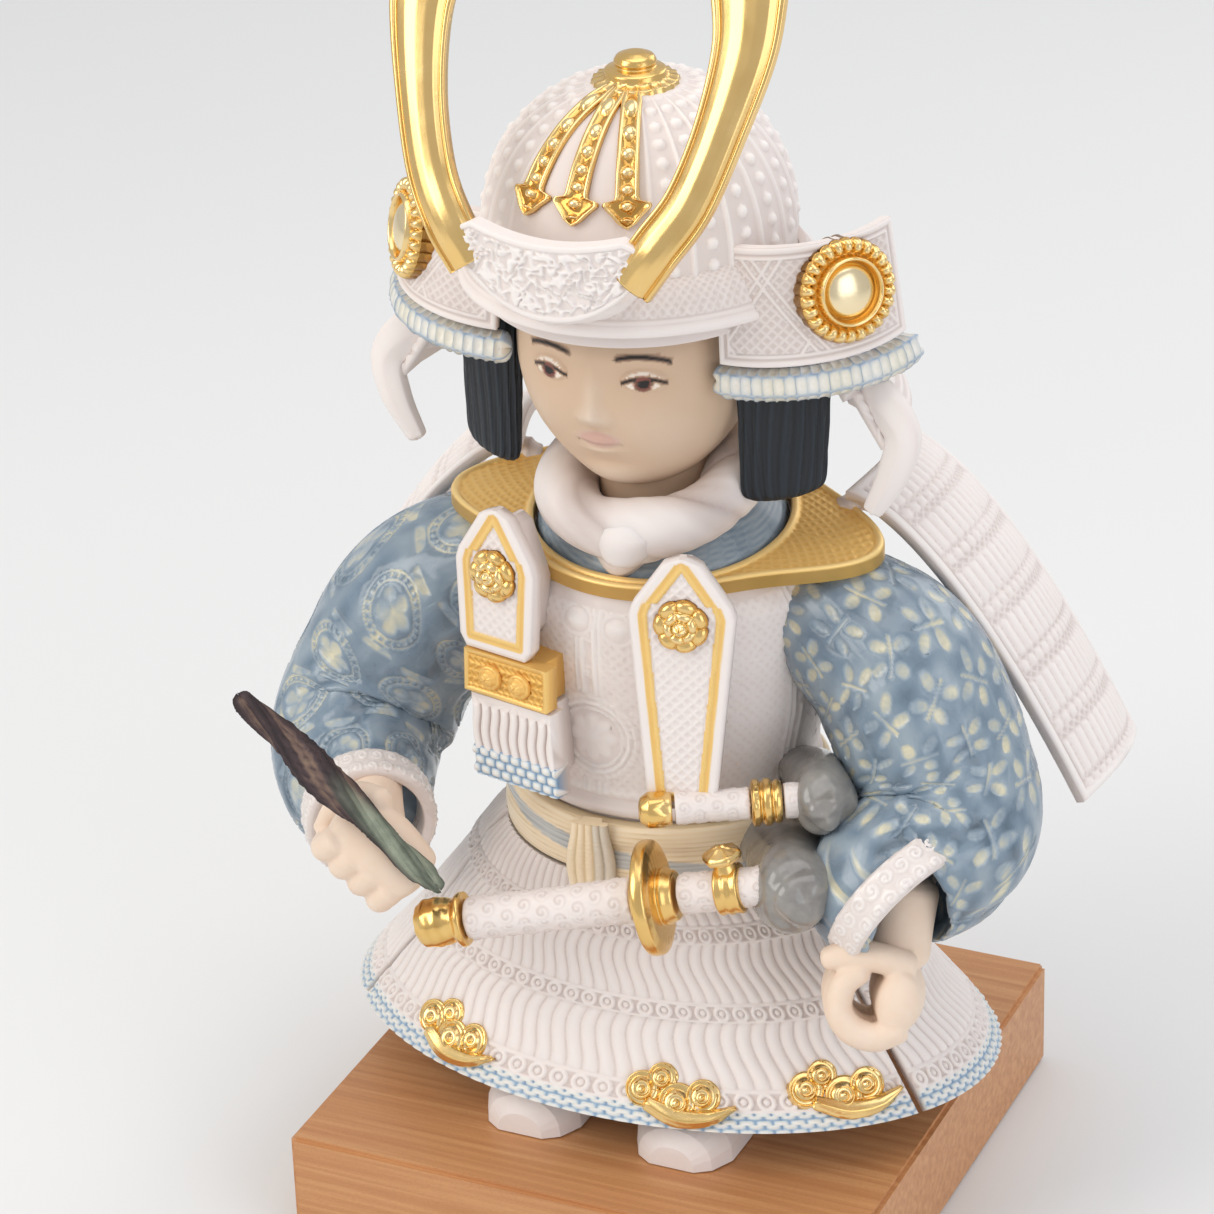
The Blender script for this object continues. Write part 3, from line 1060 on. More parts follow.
# A chrysanthemum boss: a ring of bead petals, a smooth rim and a domed middle, as a relief over
# a disc.
def rosettePatches(sign):
    u, v, step = wing["rosetteU"], wing["rosetteV"], 0.01
    middle = wingAt(np.array(u), np.array(v))
    a = wingAt(np.array(u + step), np.array(v)) - wingAt(np.array(u - step), np.array(v))
    b = wingAt(np.array(u), np.array(v + step)) - wingAt(np.array(u), np.array(v - step))
    out = np.cross(a, b)
    out /= np.linalg.norm(out)
    across = a / np.linalg.norm(a)
    rise = np.cross(out, across)
    radius, thick = rosette["radius"], rosette["thick"]
    r = np.concatenate([spread(0.001, 1, 84), np.full(10, 1.0)])[:, None]
    t = turnFull * np.arange(364)[None] / 364
    bead = np.abs(np.cos(rosette["petals"] * t / 2)) ** 0.55
    ring = dome(r - 0.84, 0.15) * (0.3 + 0.7 * bead)
    rim = dome(r - 0.62, 0.06)
    core = dome(r, 0.5)
    height = thick * np.maximum(np.maximum(0.62 * ring + 0.1, 0.78 * rim + 0.12),
                                np.where(r < 0.52, 0.35 + 0.63 * core, 0.1))
    wall = np.concatenate([np.zeros(84), spread(0, 1, 10)])[:, None]
    height = height * (1 - wall) - 4.0 * wall
    scallop = 1 - 0.035 * (1 - bead) * (r > 0.8)
    spoke = across * np.cos(t)[..., None] + rise * np.sin(t)[..., None]
    points = middle + spoke * (radius * r * scallop)[..., None] + out * (height + 0.2)[..., None]
    tone = np.clip((0.5 - r) / 0.05, 0, 1) * 0.8 + 0 * t
    made = patch(points, True, False, np.clip(0.2 + 0.2 * height, 0.1, 0.75), tone)
    return besideHead([made], sign)


guard = {"tiers": 3, "tierTall": 13.0, "wall": 2.6, "lace": 3.2}


# The neck guard: three stepped tiers, each with a plain rim, a row of laced cords and a fine
# key line.
def guardPatches():
    patches = []
    for tier in range(guard["tiers"]):
        reach = 104.0 - 5.0 * tier
        u, v = np.meshgrid(spread(-1, 1, 300), spread(0, 1.16, 44))
        lean = np.radians(reach * u)
        out = 2.5 + 7.5 * tier + 8.5 * v
        points = np.stack([headX + np.sin(lean) * (helmetWide / 2 + out),
                           headY + np.cos(lean) * (0.9 * helmetDeep / 2 + out),
                           helmetZ - 4.0 - guard["tierTall"] * (tier + v)], -1)
        length = lean * (helmetWide / 2 + out)
        cords = np.abs(np.cos(math.pi * length / guard["lace"])) ** 0.6 * band(v - 0.45, 0.22, 0.06)
        lines = dome(v - 0.86, 0.05) + dome(v - 1.06,
                                            0.05) + 0.5 * lattice(length, v * 15, 1.6) * (v > 0.9) * 0.5
        height = 0.6 * cords + 0.4 * lines
        patches += plate(points, height, guard["wall"] - 0.6,
                         shade=np.clip(0.36 + 0.5 * height, 0, 1))
    return patches


for side, sign in (("left", 1), ("right", -1)):
    addPiece("turnback_" + side + "_plate", wingPatches(sign), bisque, ["turnback_" + side])
    addPiece("turnbackBraid_" + side, braidPatches(sign), laceGlaze, ["turnback_braid_" + side])
    addPiece("rosette_" + side + "_gilt", rosettePatches(sign), gilding, ["rosette_" + side])
    flapPath = finePath([(53, -2, -33, 7.2, 3.2), (62, -7, -35, 6.2, 3.3), (68, -9, -42, 4.8, 3.3),
                         (66, -10, -52, 4.2, 3.1), (61, -10, -62, 2.8, 2.3)], 90)
    flapPath[:, 0] = headX + sign * flapPath[:, 0]
    flapPath[:, 2] += helmetZ
    addPiece("guardFlap_" + side,
             [tube(flapPath[:, :3], flapPath[:, 3], flapPath[:, 4], 90, up=(0, 1, 0.2),
                                        height=lambda u,
                                        v: 0.25 * np.abs(np.cos(turnFull * 3 * u)) + 0.0 * v)],
             bisque, ["guard_flap_" + side])
addPiece("neckGuard", guardPatches(), bisque, ["neck_guard"])
print("helmet ready")


# Torso armour

torso = {"unroll": 39.0, "medalX": 5.0, "medalZ": 139.5, "medalReach": 12.2, "panel": 27.0,
         "bossX": 3.0, "bossZ": 171.0, "bossReach": 4.6}


# Ovals from the waist to the sloping neckline, with lattice work, a round medallion, bosses and
# a rolled foot.
def torsoPatches():
    levels = np.array([(waistZ + clear, 37, 34, 0), (sashTop + 0.4, 37, 34, 0),
                       (sashTop + 1.0, 39.5, 36.5, 0),
                       (sashTop + 3.6, 39.8, 36.8, 0), (sashTop + 4.6, 37.8, 34.8, 0),
                       (waistZ + 32.4, 42.1, 34.3, 0.02),
                       (waistZ + 49, 43, 35, 0.06), (neckZ - 8, 42, 35, 0.141),
                       (neckZ, 37, 33, neckSlope)])
    levels = rounded(evenSteps(levels, 0.55), 3)
    z, w, d, slope = levels.T[:, :, None]
    turn = turnFull * np.arange(460)[None] / 460
    points = np.stack([np.cos(turn) * w, np.sin(turn) * d, z + slope * d * np.sin(turn)], -1)
    x, y = (turn - 1.5 * math.pi) * torso["unroll"], points[..., 2]
    medalX, medalY = x + torso["medalX"], y - torso["medalZ"]
    medal = np.hypot(medalX, medalY)
    bosses = np.minimum(np.hypot(x + 8.0, y - 171.5), np.hypot(x - 2.6, y - 170.4))
    around = np.arctan2(medalY, medalX)
    frameRing = np.maximum.reduce([dome(medal - 9.6, 0.6), dome(medal - 8.0, 0.35),
                                   0.9 * flower(medalX, medalY, 6.6, 8)])
    frameRing = np.maximum(frameRing,
                           0.8 * dome(medal - 11.2, 0.8) * np.abs(np.cos(18 * around)) ** 0.5)
    panel = np.abs(cell(medalX, torso["panel"]))
    stiles = np.maximum(dome(panel - 12.0, 0.55), dome(panel - 10.4, 0.35))
    field = np.where(panel < 10, 0.42 * lattice(x, y, 2.0), 0.5 * scroll(x, y, 5.0))
    body = np.where(medal < torso["medalReach"], frameRing, np.maximum(field, stiles))
    petals = np.abs(np.cos(4 * np.arctan2(y - torso["bossZ"], x + torso["bossX"])))
    knobs = np.maximum(dome(bosses, 3.0) * (0.7 + 0.3 * petals), 0.5 * dome(bosses - 4.0, 0.5))
    body = np.where(bosses < torso["bossReach"], knobs, body)
    top = neckZ + slope * d * np.sin(turn) - 1.5
    body = body * (z > sashTop + 6.0) * (y < top - 2) + 0.6 * dome(z - sashTop - 7.0, 0.9)
    shade = np.clip(0.44 + 0.36 * body, 0, 1)
    side = embossed(points, 0.62 * body - 0.2, True, shade=shade)
    lid = patch(np.stack([points[-1], points[-1] * np.array([0.05, 0.05, 1])]), True)
    base = patch(np.stack([points[0] * np.array([0.05, 0.05, 1]), points[0]]), True)
    return [side, lid, base]


addPiece("torsoArmour", torsoPatches(), bisque, ["cuirass"])

sash = {"thick": 5.0, "tall": 15.0, "stitch": 1.25, "tuckLong": 24.5, "tuckHalf": 5.4}


# The sash as one band with two rolls, closely stitched, and the ribbed upright tuck at the
# front.
def sashPatches():
    turn = turnFull * np.arange(430)[:, None] / 430
    c, s = np.cos(turn), np.sin(turn)
    tall = sash["tall"]
    profile = rounded(evenSteps([(0, 0), (0, tall), (3.6, tall), (4.6, 13.4), (4.9, 10.5),
                                 (4.0, 8.4), (4.9, 6.4), (5.0, 2.5), (4.4, 0), (0, 0)],
                                0.45)[:-1], 2)
    out, up = profile.T[:, None, :]
    points = np.stack([c * (waistWide / 2 + 1.5 * clear + out),
                       s * (waistDeep / 2 + 1.5 * clear + out),
                       sashBottom + up + 0 * c], -1)
    length = turn * 40
    outerSide = (out > 3.2)
    stitch = np.abs(np.sin(math.pi * (up + 0.25 * np.sin(length / 9)) / sash["stitch"])) ** 0.6
    bandTone = ((cell(up + 0.12 * length, 15.5) > 3.4) & outerSide).astype(float) * 0.75
    height = 0.26 * stitch * outerSide
    ring = patch(points + outward(points, True, True) * height[..., None] * -1, True, True,
                 np.clip(0.25 + 0.5 * stitch * outerSide, 0, 1), bandTone)
    v, u = np.meshgrid(spread(0, 1, 90), spread(-1, 1, 60), indexing="ij")
    half = sash["tuckHalf"] + 0.9 * np.cos(math.pi * (v * 2 - 1))
    place = np.array([-3.6, -waistDeep / 2 - sash["thick"] - 1.6, sashTop + 1.2])
    belly = 1.3 * np.sqrt(np.clip(1 - u ** 4, 0, 1))
    drape = np.stack([place[0] + u * half, place[1] - belly + 0.12 * u * half,
                      place[2] - sash["tuckLong"] * v], -1)
    pleat = np.abs(np.cos(math.pi * 2.5 * u)) ** 0.5
    tuck = plate(drape, 0.7 * pleat + 0.1 * wave(v * 22), 3.6, (u > 0.2) * 0.4,
                 np.clip(0.15 + 0.55 * pleat, 0, 1), True)
    return [flipped(ring)] + tuck


addPiece("waistSash", sashPatches(), creamGlaze, ["sash"])


# Skirt

# The skirt's outside: an oval whose half sizes follow the frame's levels, at height v from sash
# to hem.
def skirtAt(turn, v, out=0.0):
    levels = [0.0, 0.1, 0.4, 0.7, 1.0]
    a = np.interp(v, levels, [0.0, 0.13, 0.4, 0.68, 1.0])
    b = np.interp(v, levels, [0.0, 0.1, 0.19, 0.4, 1.0])
    wide = waistWide / 2 + 5 + (87.0 - waistWide / 2 - 5) * a + out
    deep = waistDeep / 2 + 5 + (57.0 - waistDeep / 2 - 5) * b + out
    return np.stack([np.sin(turn) * wide, -np.cos(turn) * deep,
                     skirtTop + (hemZ - skirtTop) * v + 0 * turn], -1)


skirt = {"reach": 62.0, "ridge": 3.6, "hem": 0.93, "rowPitch": 0.34, "rowTall": 20.4, "rivets": 4.7,
         "wall": 2.6}


# Rows of S-curved ridges sin(pi (x + s sin(2 pi row)) / pitch) between bands of ringed rivets;
# a knitted hem.
def skirtPatches(start, end):
    columns = int(abs(end - start) * 4.6)
    u, v = np.meshgrid(np.radians(spread(start, end, columns)), spread(0, 1, 190))
    points = skirtAt(u, v)
    length = u * skirt["reach"]
    row = 3 + (v - skirt["hem"]) / skirt["rowPitch"]
    inRow = row - np.floor(row)
    tall = skirt["rowTall"]
    sway = 0.9 * np.sin(turnFull * inRow) + 0.5 * inRow
    ridges = (np.abs(np.sin(math.pi * (length + sway * 1.6) / skirt["ridge"])) ** 0.7
              * np.clip((0.76 - inRow) / 0.03, 0, 1))
    rivets = np.hypot(cell(length + 1.3 * (np.floor(row) % 2), skirt["rivets"]),
                      (inRow - 0.88) * tall)
    ringed = np.maximum(dome(rivets - 1.55, 0.55), 0.9 * dome(rivets, 0.75)) * (inRow > 0.78)
    lips = dome((inRow - 0.775) * tall, 0.55) + dome((inRow - 0.985) * tall, 0.45)
    step = 1.3 * inRow
    body = np.maximum.reduce([0.75 * ridges, 0.7 * ringed, 0.5 * lips])
    knit = np.abs(np.cos(math.pi * (length / 3.4 + 0.5 * (np.floor((v - 0.92) * 60) % 2)))) ** 0.6
    knit = knit * np.abs(np.sin(math.pi * (v - 0.92) * 60 / 2)) ** 0.5
    hem = v > skirt["hem"]
    edge = np.clip(np.minimum(u - u.min(), u.max() - u) * skirt["reach"] / 1.2, 0, 1) ** 0.5
    height = np.where(hem, 1.1 * knit + 0.3, 1.15 * body + step * 0.55) * edge - 0.35
    tone = np.where(hem, 1.0, 0.0)
    shade = np.where(hem, np.clip(0.1 + 0.85 * knit, 0, 1), np.clip(0.34 + 0.42 * body, 0, 1))
    return plate(points[::-1], height[::-1], skirt["wall"], tone[::-1], shade[::-1])


# Laced skirt: biscuit rows above, and a hem knitted in blue glaze with pale tops
skirtBisque = fired("skirt_bisque", "bisque_white", {
    "stops": [(0.0, "#A8958E"), (0.32, "#D6C8C2"), (0.5, "#EEE4DF"), (0.85, "#F6F0EC")],
    "accent": [(0.0, "#6F90B4"), (0.35, "#9DB5CB"), (0.6, "#DEE1DF"), (1.0, "#F3EEE6")],
    "rough": (0.48, 0.66), "depth": 0.1})
for name, start, end in (("skirt_front", -62.9, 62.9), ("skirt_left", 65.1, 116.9),
                         ("skirt_back", 119.1, 240.9),
                         ("skirt_right", 243.1, 294.9)):
    addPiece(name + "_laced", skirtPatches(start, end), skirtBisque, [name])

cloud = {"size": 12.0, "depth": 2.0}


# A gilded cloud: curled lobes, each a coiled dome, over a trailing tail.
def cloudPatches(turnAt, v, size):
    turnAt = math.radians(turnAt)
    at = skirtAt(np.array(turnAt), v, 0.6)
    across = skirtAt(np.array(turnAt + 0.03), v) - skirtAt(np.array(turnAt - 0.03), v)
    across /= np.linalg.norm(across)
    rise = skirtAt(np.array(turnAt), v - 0.05) - skirtAt(np.array(turnAt), v + 0.05)
    rise /= np.linalg.norm(rise)
    out = np.cross(across, rise)

    # One groove that winds outward over the lobe, |cos(t / 2 + 1.4 s)|.
    def curl(t, s):
        return 0.5 * np.abs(np.cos(t * 0.5 + 1.4 * s))
    patches = []
    for x, y, r in ((-0.62, 0.1, 0.42), (-0.2, 0.36, 0.36), (0.12, -0.12, 0.46), (0.66, 0.06, 0.4)):
        place = at + across * x * size + rise * y * size - out * (cloud["depth"] + 0.17 * x)
        big = r * size
        profile = [(0, 0.94 * big), (2.4, 0.98 * big), (3.4, 0.84 * big), (2.7, 0.66 * big),
                   (3.9, 0.52 * big),
                   (4.2, 0.4 * big), (3.4, 0.28 * big), (4.4, 0.12 * big)]
        patches.append(turned(place, out, profile, 72, 0.25, curl, up=tuple(rise)))
    tail = finePath([(*(at + across * x * size + rise * y * size + out * 0.4), w * size)
                     for x, y, w in ((-0.5, -0.2, 0.18), (0.1, -0.42, 0.22), (0.8, -0.36, 0.18),
                                     (1.35, -0.1, 0.06))], 60)
    patches.append(tube(tail[:, :3], tail[:, 3], 2.0, 48, up=tuple(out),
                        height=lambda u, v: 0.35 * np.abs(np.cos(3 * turnFull * u + 2 * v))))
    return patches


for name, turnAt, v in (("cloud_right", -32, 0.87), ("cloud_middle", 15, 0.88),
                        ("cloud_left", 47, 0.86)):
    addPiece(name + "_gilt", cloudPatches(turnAt, v, cloud["size"]), gilding, [name])
print("torso and skirt ready")


# Sleeves and shoulder guards

# Middle line of a sleeve with its two half sizes, from shoulder to wrist.
def sleeveRoute(sign, count):
    x, z, g = 34.0, neckZ - 10.0, 23.0
    points = [(x, 2, z - 4, 0.58 * g, 0.52 * g), (x + 15, 0, z - 9, 0.85 * g, 0.74 * g),
              (x + 30, -2, z - 21, 0.98 * g, 0.96 * g), (x + 42, -7, z - 42, g, g),
              (x + 45, -17, z - 55, 0.98 * g, 0.98 * g), (x + 38, -32, z - 61, 0.84 * g, 0.82 * g)]
    points += [(x + 29, -45, z - 63, 0.62 * g,
                0.66 * g)] if sign < 0 else [(x + 43, -34, z - 64, 0.8 * g, 0.78 * g)]
    route = finePath(points, count)
    route[:, 0] *= sign
    return route


sleeve = {"columns": 290, "rows": 250, "motif": 15.5, "roundel": 23.0}


# Double-ring roundels with a lobed flower and a beaded border, and small leaves between them.
def roundelWork(x, y):
    row = np.floor(y / sleeve["roundel"])
    cx, cy = cell(x + 0.5 * sleeve["roundel"] * (row % 2),
                  sleeve["roundel"]), cell(y, sleeve["roundel"])
    r, t = np.hypot(cx, cy), np.arctan2(cy, cx)
    rings = np.maximum(band(r - 8.7, 0.3, 0.25), band(r - 6.7, 0.28, 0.25))
    beads = dome(np.hypot(r - 7.7, cell(t * 7.7, 2.0)), 0.6)
    inner = flower(cx, cy, 5.7, 5, 0.24)
    corner = flower(cell(cx + 0.5 * sleeve["roundel"], sleeve["roundel"]),
                    cell(cy, sleeve["roundel"]), 4.6, 4, 0.2)
    return np.where(r < 9.3, np.maximum.reduce([rings, beads, inner]), corner)


# Small winged sprigs: a stem and two pairs of leaves, turned a different way in each staggered
# cell.
def sprigWork(x, y):
    row = np.floor(y / sleeve["motif"] * 1.3)
    pitch = sleeve["motif"] / 1.3
    shifted = x + 0.5 * pitch * (row % 2)
    cx, cy = cell(shifted, pitch), cell(y, pitch)
    angle = 1.3 * np.floor(shifted / pitch) + 2.1 * row
    px, py = cx * np.cos(angle) + cy * np.sin(angle), cy * np.cos(angle) - cx * np.sin(angle)
    stem = band(px, 0.4, 0.3) * (np.abs(py) < 4.4)
    leaves = np.zeros(np.shape(px))
    for side, way, far in ((1, 0.5, 1.5), (-1, 0.5, 1.5), (1, -0.35, -1.4), (-1, -0.35, -1.4)):
        ax, ay = side * px - 2.9, py - far - way * 2.5
        tilt = 0.5 * way * 2
        bx, by = ax * math.cos(tilt) + ay * math.sin(tilt), ay * math.cos(tilt) - ax * math.sin(tilt)
        d = np.hypot(bx / 2.7, by / 1.6)
        leaves = np.maximum(leaves,
                            np.clip((1 - d) * 3, 0, 1) * (0.75 + 0.25 * np.abs(np.cos(bx * 2.4))))
    return np.maximum(stem, leaves)


# The sleeve: ovals along its route with soft folds, glaze relief from the motif, and its turned
# cuff.
def sleevePatches(sign, motif):
    rows, columns = sleeve["rows"], sleeve["columns"]
    route = sleeveRoute(sign, rows)
    across, lift, ahead = alongPath(route[:, :3], (0, -0.6, 1))
    turn = turnFull * np.arange(columns)[None] / columns
    i = spread(0, 10, rows)[:, None]
    fold = 1 + 0.03 * np.sin(3 * turn + 0.9 * i) * (i / 10) + 0.02 * np.sin(1.7 * i + turn)
    crease = 0.045 * np.maximum(0, np.sin(5 * turn + 2.2 * i)) ** 2 * np.clip((i - 3) / 4, 0, 1)
    half, tall = route[:, 3:4], route[:, 4:5]
    points = (route[:, None, :3] + across[:, None] * (half * np.cos(turn) * (fold - crease))[..., None]
              + lift[:, None] * (tall * np.sin(turn) * (fold - crease))[..., None])
    length = np.concatenate([[0], np.cumsum(np.linalg.norm(np.diff(route[:, :3], axis=0),
                                                           axis=1))])[:, None]
    work = motif(turn * 22.0 * 0.98, length + 0 * turn)
    wear = 0.5 + 0.5 * uneven(points, 9, 5)
    height = 0.5 * work - 0.5
    deep = -0.3 * (np.sin(5 * turn + 2.2 * i) > 0.6) * np.clip((i - 3) / 4, 0, 1) * 0.4
    shade = np.clip(0.3 + 0.4 * work * (0.55 + 0.45 * wear) + 0.3 * (wear - 0.5) + deep, 0, 1)
    return embossed(points, height, True, shade=shade, tone=0.0), points, across, lift, ahead, route


# The turned edge: an oval lip round the sleeve's end with a scrolled outer face.
def cuffPatches(points, across, lift, ahead, route, depth):
    end, half, tall = route[-1, :3], route[-1, 3], route[-1, 4]
    turn = turnFull * np.arange(240)[:, None] / 240
    profile = rounded(evenSteps([(-1.8, -3.5), (-1.0, 3.4), (1.0, 3.9), (2.3, 2.9), (2.4, -5.0),
                                 (0.6, -6.0), (-1.8, -3.5)],
                                0.35)[:-1], 2)
    out, step = profile.T[:, None, :]
    spoke = (across[-1] * (np.cos(turn) * half)[..., None]
             + lift[-1] * (np.sin(turn) * tall)[..., None])
    unit = spoke / np.linalg.norm(spoke, axis=-1, keepdims=True)
    grid = end + spoke + unit * out[..., None] + ahead[-1] * step[..., None]
    face = (out > 1.6)
    work = scroll(turn * 20, step + 0 * turn, 4.6) * face
    height = 0.5 * work
    made = patch(grid + unit * height[..., None], True, True, np.clip(0.42 + 0.4 * work, 0, 1), 1.0)
    throat = points[-1] + ahead[-1] * 1.5
    inner = end - ahead[-1] * depth + (points[-1] - end) * 0.86
    hole = patch(np.stack([throat * 0.1 + 0.9 * (end + (points[-1] - end) * 0.93), inner,
                           end - ahead[-1] * depth + (points[-1] - end) * 0.02]), True, relief=0.1)
    return [flipped(made), hole]


for side, sign, motif in (("left", 1, sprigWork), ("right", -1, roundelWork)):
    outer, rim, across, lift, ahead, route = sleevePatches(sign, motif)
    start = route[0, :3]
    cap = flipped(patch(np.stack([rim[0], start + (rim[0] - start) * 0.02]), True))
    addPiece("kimonoSleeve_" + side,
             [outer, cap] + cuffPatches(rim, across, lift, ahead, route, 6.0), blueGlaze,
             ["sleeve_" + side])

shoulder = {"wide": 40.0, "long": 98.0, "reach": 62.0, "drop": 76.0, "strap": 38.0, "cord": 2.9,
            "border": 2.4, "wall": 3.4, "rows": 6}


# The hanging shoulder guard: lacquer rows with upright cords between plain lames, and a twisted
# cord on top.
def shoulderPatches(sign):
    u, v = np.meshgrid(spread(0, 1, 120), spread(0, 1, 200))
    bulge = 5 * np.sin(math.pi * u)
    x = 44 + shoulder["reach"] * v ** 0.8 + 0.8 * bulge
    z = neckZ + 10 - shoulder["drop"] * v ** 1.25 + 0.6 * bulge
    y = 12 + shoulder["wide"] * u + 2 * v
    points = np.stack([x, y, z], -1)
    row = v * shoulder["rows"]
    inRow = row - np.floor(row)
    across, down = u * shoulder["wide"], v * shoulder["long"]
    cords = np.abs(np.cos(math.pi * across / shoulder["cord"])) ** 0.6 * band(inRow - 0.4, 0.3, 0.08)
    braid = np.abs(np.cos(math.pi * (across / shoulder["cord"] + 0.5))) * dome(inRow - 0.86, 0.1)
    edge = np.minimum.reduce([across, shoulder["wide"] - across, down, shoulder["long"] - down])
    border = dome(edge - 1.1, 1.1)
    field = np.maximum.reduce([0.8 * cords, 0.8 * braid, 0.35 * lattice(across, down, 1.8)])
    height = np.where(edge < shoulder["border"], 0.9 * border, field)
    faces = plate(points[:, ::-1], height[:, ::-1], shoulder["wall"] - 0.8,
                  shade=np.clip(0.32 + 0.45 * height[:, ::-1], 0, 1))
    faces = [mirrored(p, sign) for p in faces]
    at = sign * shoulder["strap"]
    path = finePath([(at, 16, neckZ - 1.5), (at * 1.15, 17, neckZ + 4.8),
                     (at * 1.4, 20, neckZ + 5)], 60)

    # Three strands wound along the cord, |cos(3 pi u + 22 v)|.
    def twist(share, rows):
        return 0.5 * np.abs(np.cos(turnFull * 1.5 * share + 22 * rows)) - 0.4
    return faces + [tube(path, 3.0, 2.4, 48, height=twist)]


for side, sign in (("left", 1), ("right", -1)):
    addPiece("shoulderGuard_" + side, shoulderPatches(sign), bisque, ["shoulder_guard_" + side])
print("arms ready")


# Breast plates

# Across, rise and out directions of a plate that hangs on the chest.
def hangingFrame(sign):
    out = np.array([sign * 0.22, -0.97, 0.06])
    out /= np.linalg.norm(out)
    rise = np.array([0, 0.05, 1.0])
    across = np.cross(out, rise) * -1
    across /= -np.linalg.norm(across)
    rise = np.cross(out, across)
    rise = rise if rise[2] > 0 else -rise
    return across, rise, out


breast = {"thick": 4.0, "depth": 9.0, "band": 1.3, "border": 2.1, "padInset": 3.5}


# Half width of the hexagon plate at a distance below its peak.
def hexHalf(down, width, foot, height, shoulderAt):
    h, f = width / 2, foot / 2
    return np.interp(down, [0, 1.5, shoulderAt, shoulderAt + 3, height - 3, height],
                     [0.06 * h, 0.36 * h, h - 1, h, f, f - 2])


# White border, gilded band with a ragged cord inside it, and a lattice field, all by distance
# from the edge.
def breastPatches(corner, sign, width, foot, fullHeight, shoulderAt=12.0):
    across, rise, out = hangingFrame(sign)
    v, u = np.meshgrid(spread(0, 1, int(fullHeight * 2.6)), spread(-1, 1, 76), indexing="ij")
    down = v * fullHeight
    half = hexHalf(down, width, foot, fullHeight, shoulderAt)
    x = u * half
    slant = np.where(down < shoulderAt, (half - np.abs(x)) * 0.76, (half - np.abs(x)) * 0.99)
    edge = np.minimum(slant, fullHeight - down)
    outer, inner = breast["border"], breast["border"] + breast["band"]
    bandAt = np.clip((edge - outer) / 0.25, 0, 1) * np.clip((inner - edge) / 0.25 + 1, 0, 1)
    cord = dome(edge - inner - 0.6, 0.6) * (0.6 + 0.4 * np.abs(np.cos((down + x) * 2.4)))
    field = 0.3 * lattice(x, down, 2.1) * (edge > inner + 1.6)
    rimRoll = 0.35 * dome(edge - 1.2, 1.4) - 0.8 * np.clip(1 - edge / 0.7, 0, 1) ** 2
    height = np.maximum(rimRoll, 0.55 * cord) + 0.2 * bandAt + field
    points = (np.asarray(corner) + across * x[..., None] - rise * down[..., None]
              + out * (breast["thick"] - 0.3))
    tone = np.maximum(bandAt, (cord > 0.1) * 1.0)
    faces = plate(points, height, breast["thick"] - 0.7, tone, np.clip(0.46 + 0.42 * height, 0, 1))
    inset = breast["padInset"]
    padDown = inset + v[:, ::4] * (fullHeight - 2 * inset)
    padHalf = hexHalf(padDown - inset, width - 2 * inset, foot - 2 * inset, fullHeight - 2 * inset,
                      shoulderAt)
    padPoints = (np.asarray(corner) + across * (u[:, ::4] * padHalf)[..., None]
                 - rise * padDown[..., None] + out * 0.8)
    return faces + plate(padPoints, 0 * padDown, breast["depth"] - 0.6, shade=0.3 + 0 * padDown)


# Chest plates: biscuit with inlaid matt gold where the tone value is high
plateBisque = fired("gilt_banded_bisque", "bisque_white", {
    "stops": [(0.0, "#B3A19A"), (0.34, "#DBCEC8"), (0.5, "#EEE4DF"), (0.85, "#F6F0EC")],
    "accent": [(0.0, "#B07A34"), (0.4, "#DDA855"), (0.6, "#F0C878"), (1.0, "#F9DF9F")],
    "cloudSize": 12.0, "cloudShift": 0.1, "grainSize": 0.4, "grainStrength": 0.35,
    "grainDepth": 0.06, "rough": (0.42, 0.6), "depth": 0.05})


# A gilded peony: three rings of lobed petals over a disc.
def peonyPatches(corner, sign, down):
    across, rise, out = hangingFrame(sign)
    middle = np.asarray(corner) + out * (breast["thick"] + 0.2) - rise * down
    r = np.concatenate([spread(0.001, 1, 70), np.full(8, 1.0)])[:, None]
    t = turnFull * np.arange(260)[None] / 260
    outer = np.abs(np.cos(3.5 * t)) ** 0.5
    mid = np.abs(np.cos(3 * t + 0.8)) ** 0.5
    core = np.abs(np.cos(2.5 * t + 0.4))
    height = np.maximum.reduce([dome(r - 0.76, 0.24) * (0.5 + 0.5 * outer) * 2.0,
                                (dome(r - 0.48, 0.2) * (0.5 + 0.5 * mid) * 1.6 + 1.3) * (r < 0.66),
                                (dome(r, 0.3) * (0.7 + 0.3 * core) * 1.8 + 2.2) * (r < 0.3),
                                0 * outer + 0 * r])
    wall = np.concatenate([np.zeros(70), spread(0, 1, 8)])[:, None]
    height = height * (1 - wall) - 0.8 * wall
    reach = 6.9 * r * (0.9 + 0.1 * outer * (r > 0.7))
    spoke = across * np.cos(t)[..., None] + rise * np.sin(t)[..., None]
    points = middle + spoke * reach[..., None] + out * height[..., None]
    return [flipped(patch(points, True, False, np.clip(0.2 + 0.2 * height, 0, 1)))]


leftCorner = np.array([22.5, -38.0, neckZ + 12.5])
rightCorner = np.array([-26.5, -35.0, neckZ + 15.5])
addPiece("breastPlate_left", breastPatches(leftCorner, 1, 26, 17, 66), plateBisque,
         ["breast_plate_left"])
addPiece("breastPlate_right", breastPatches(rightCorner, -1, 24, 22, 38), plateBisque,
         ["breast_plate_right"])
addPiece("peony_left", peonyPatches(leftCorner, 1, 17), gilding, ["boss_left"])
addPiece("peony_right", peonyPatches(rightCorner, -1, 17), gilding, ["boss_right"])


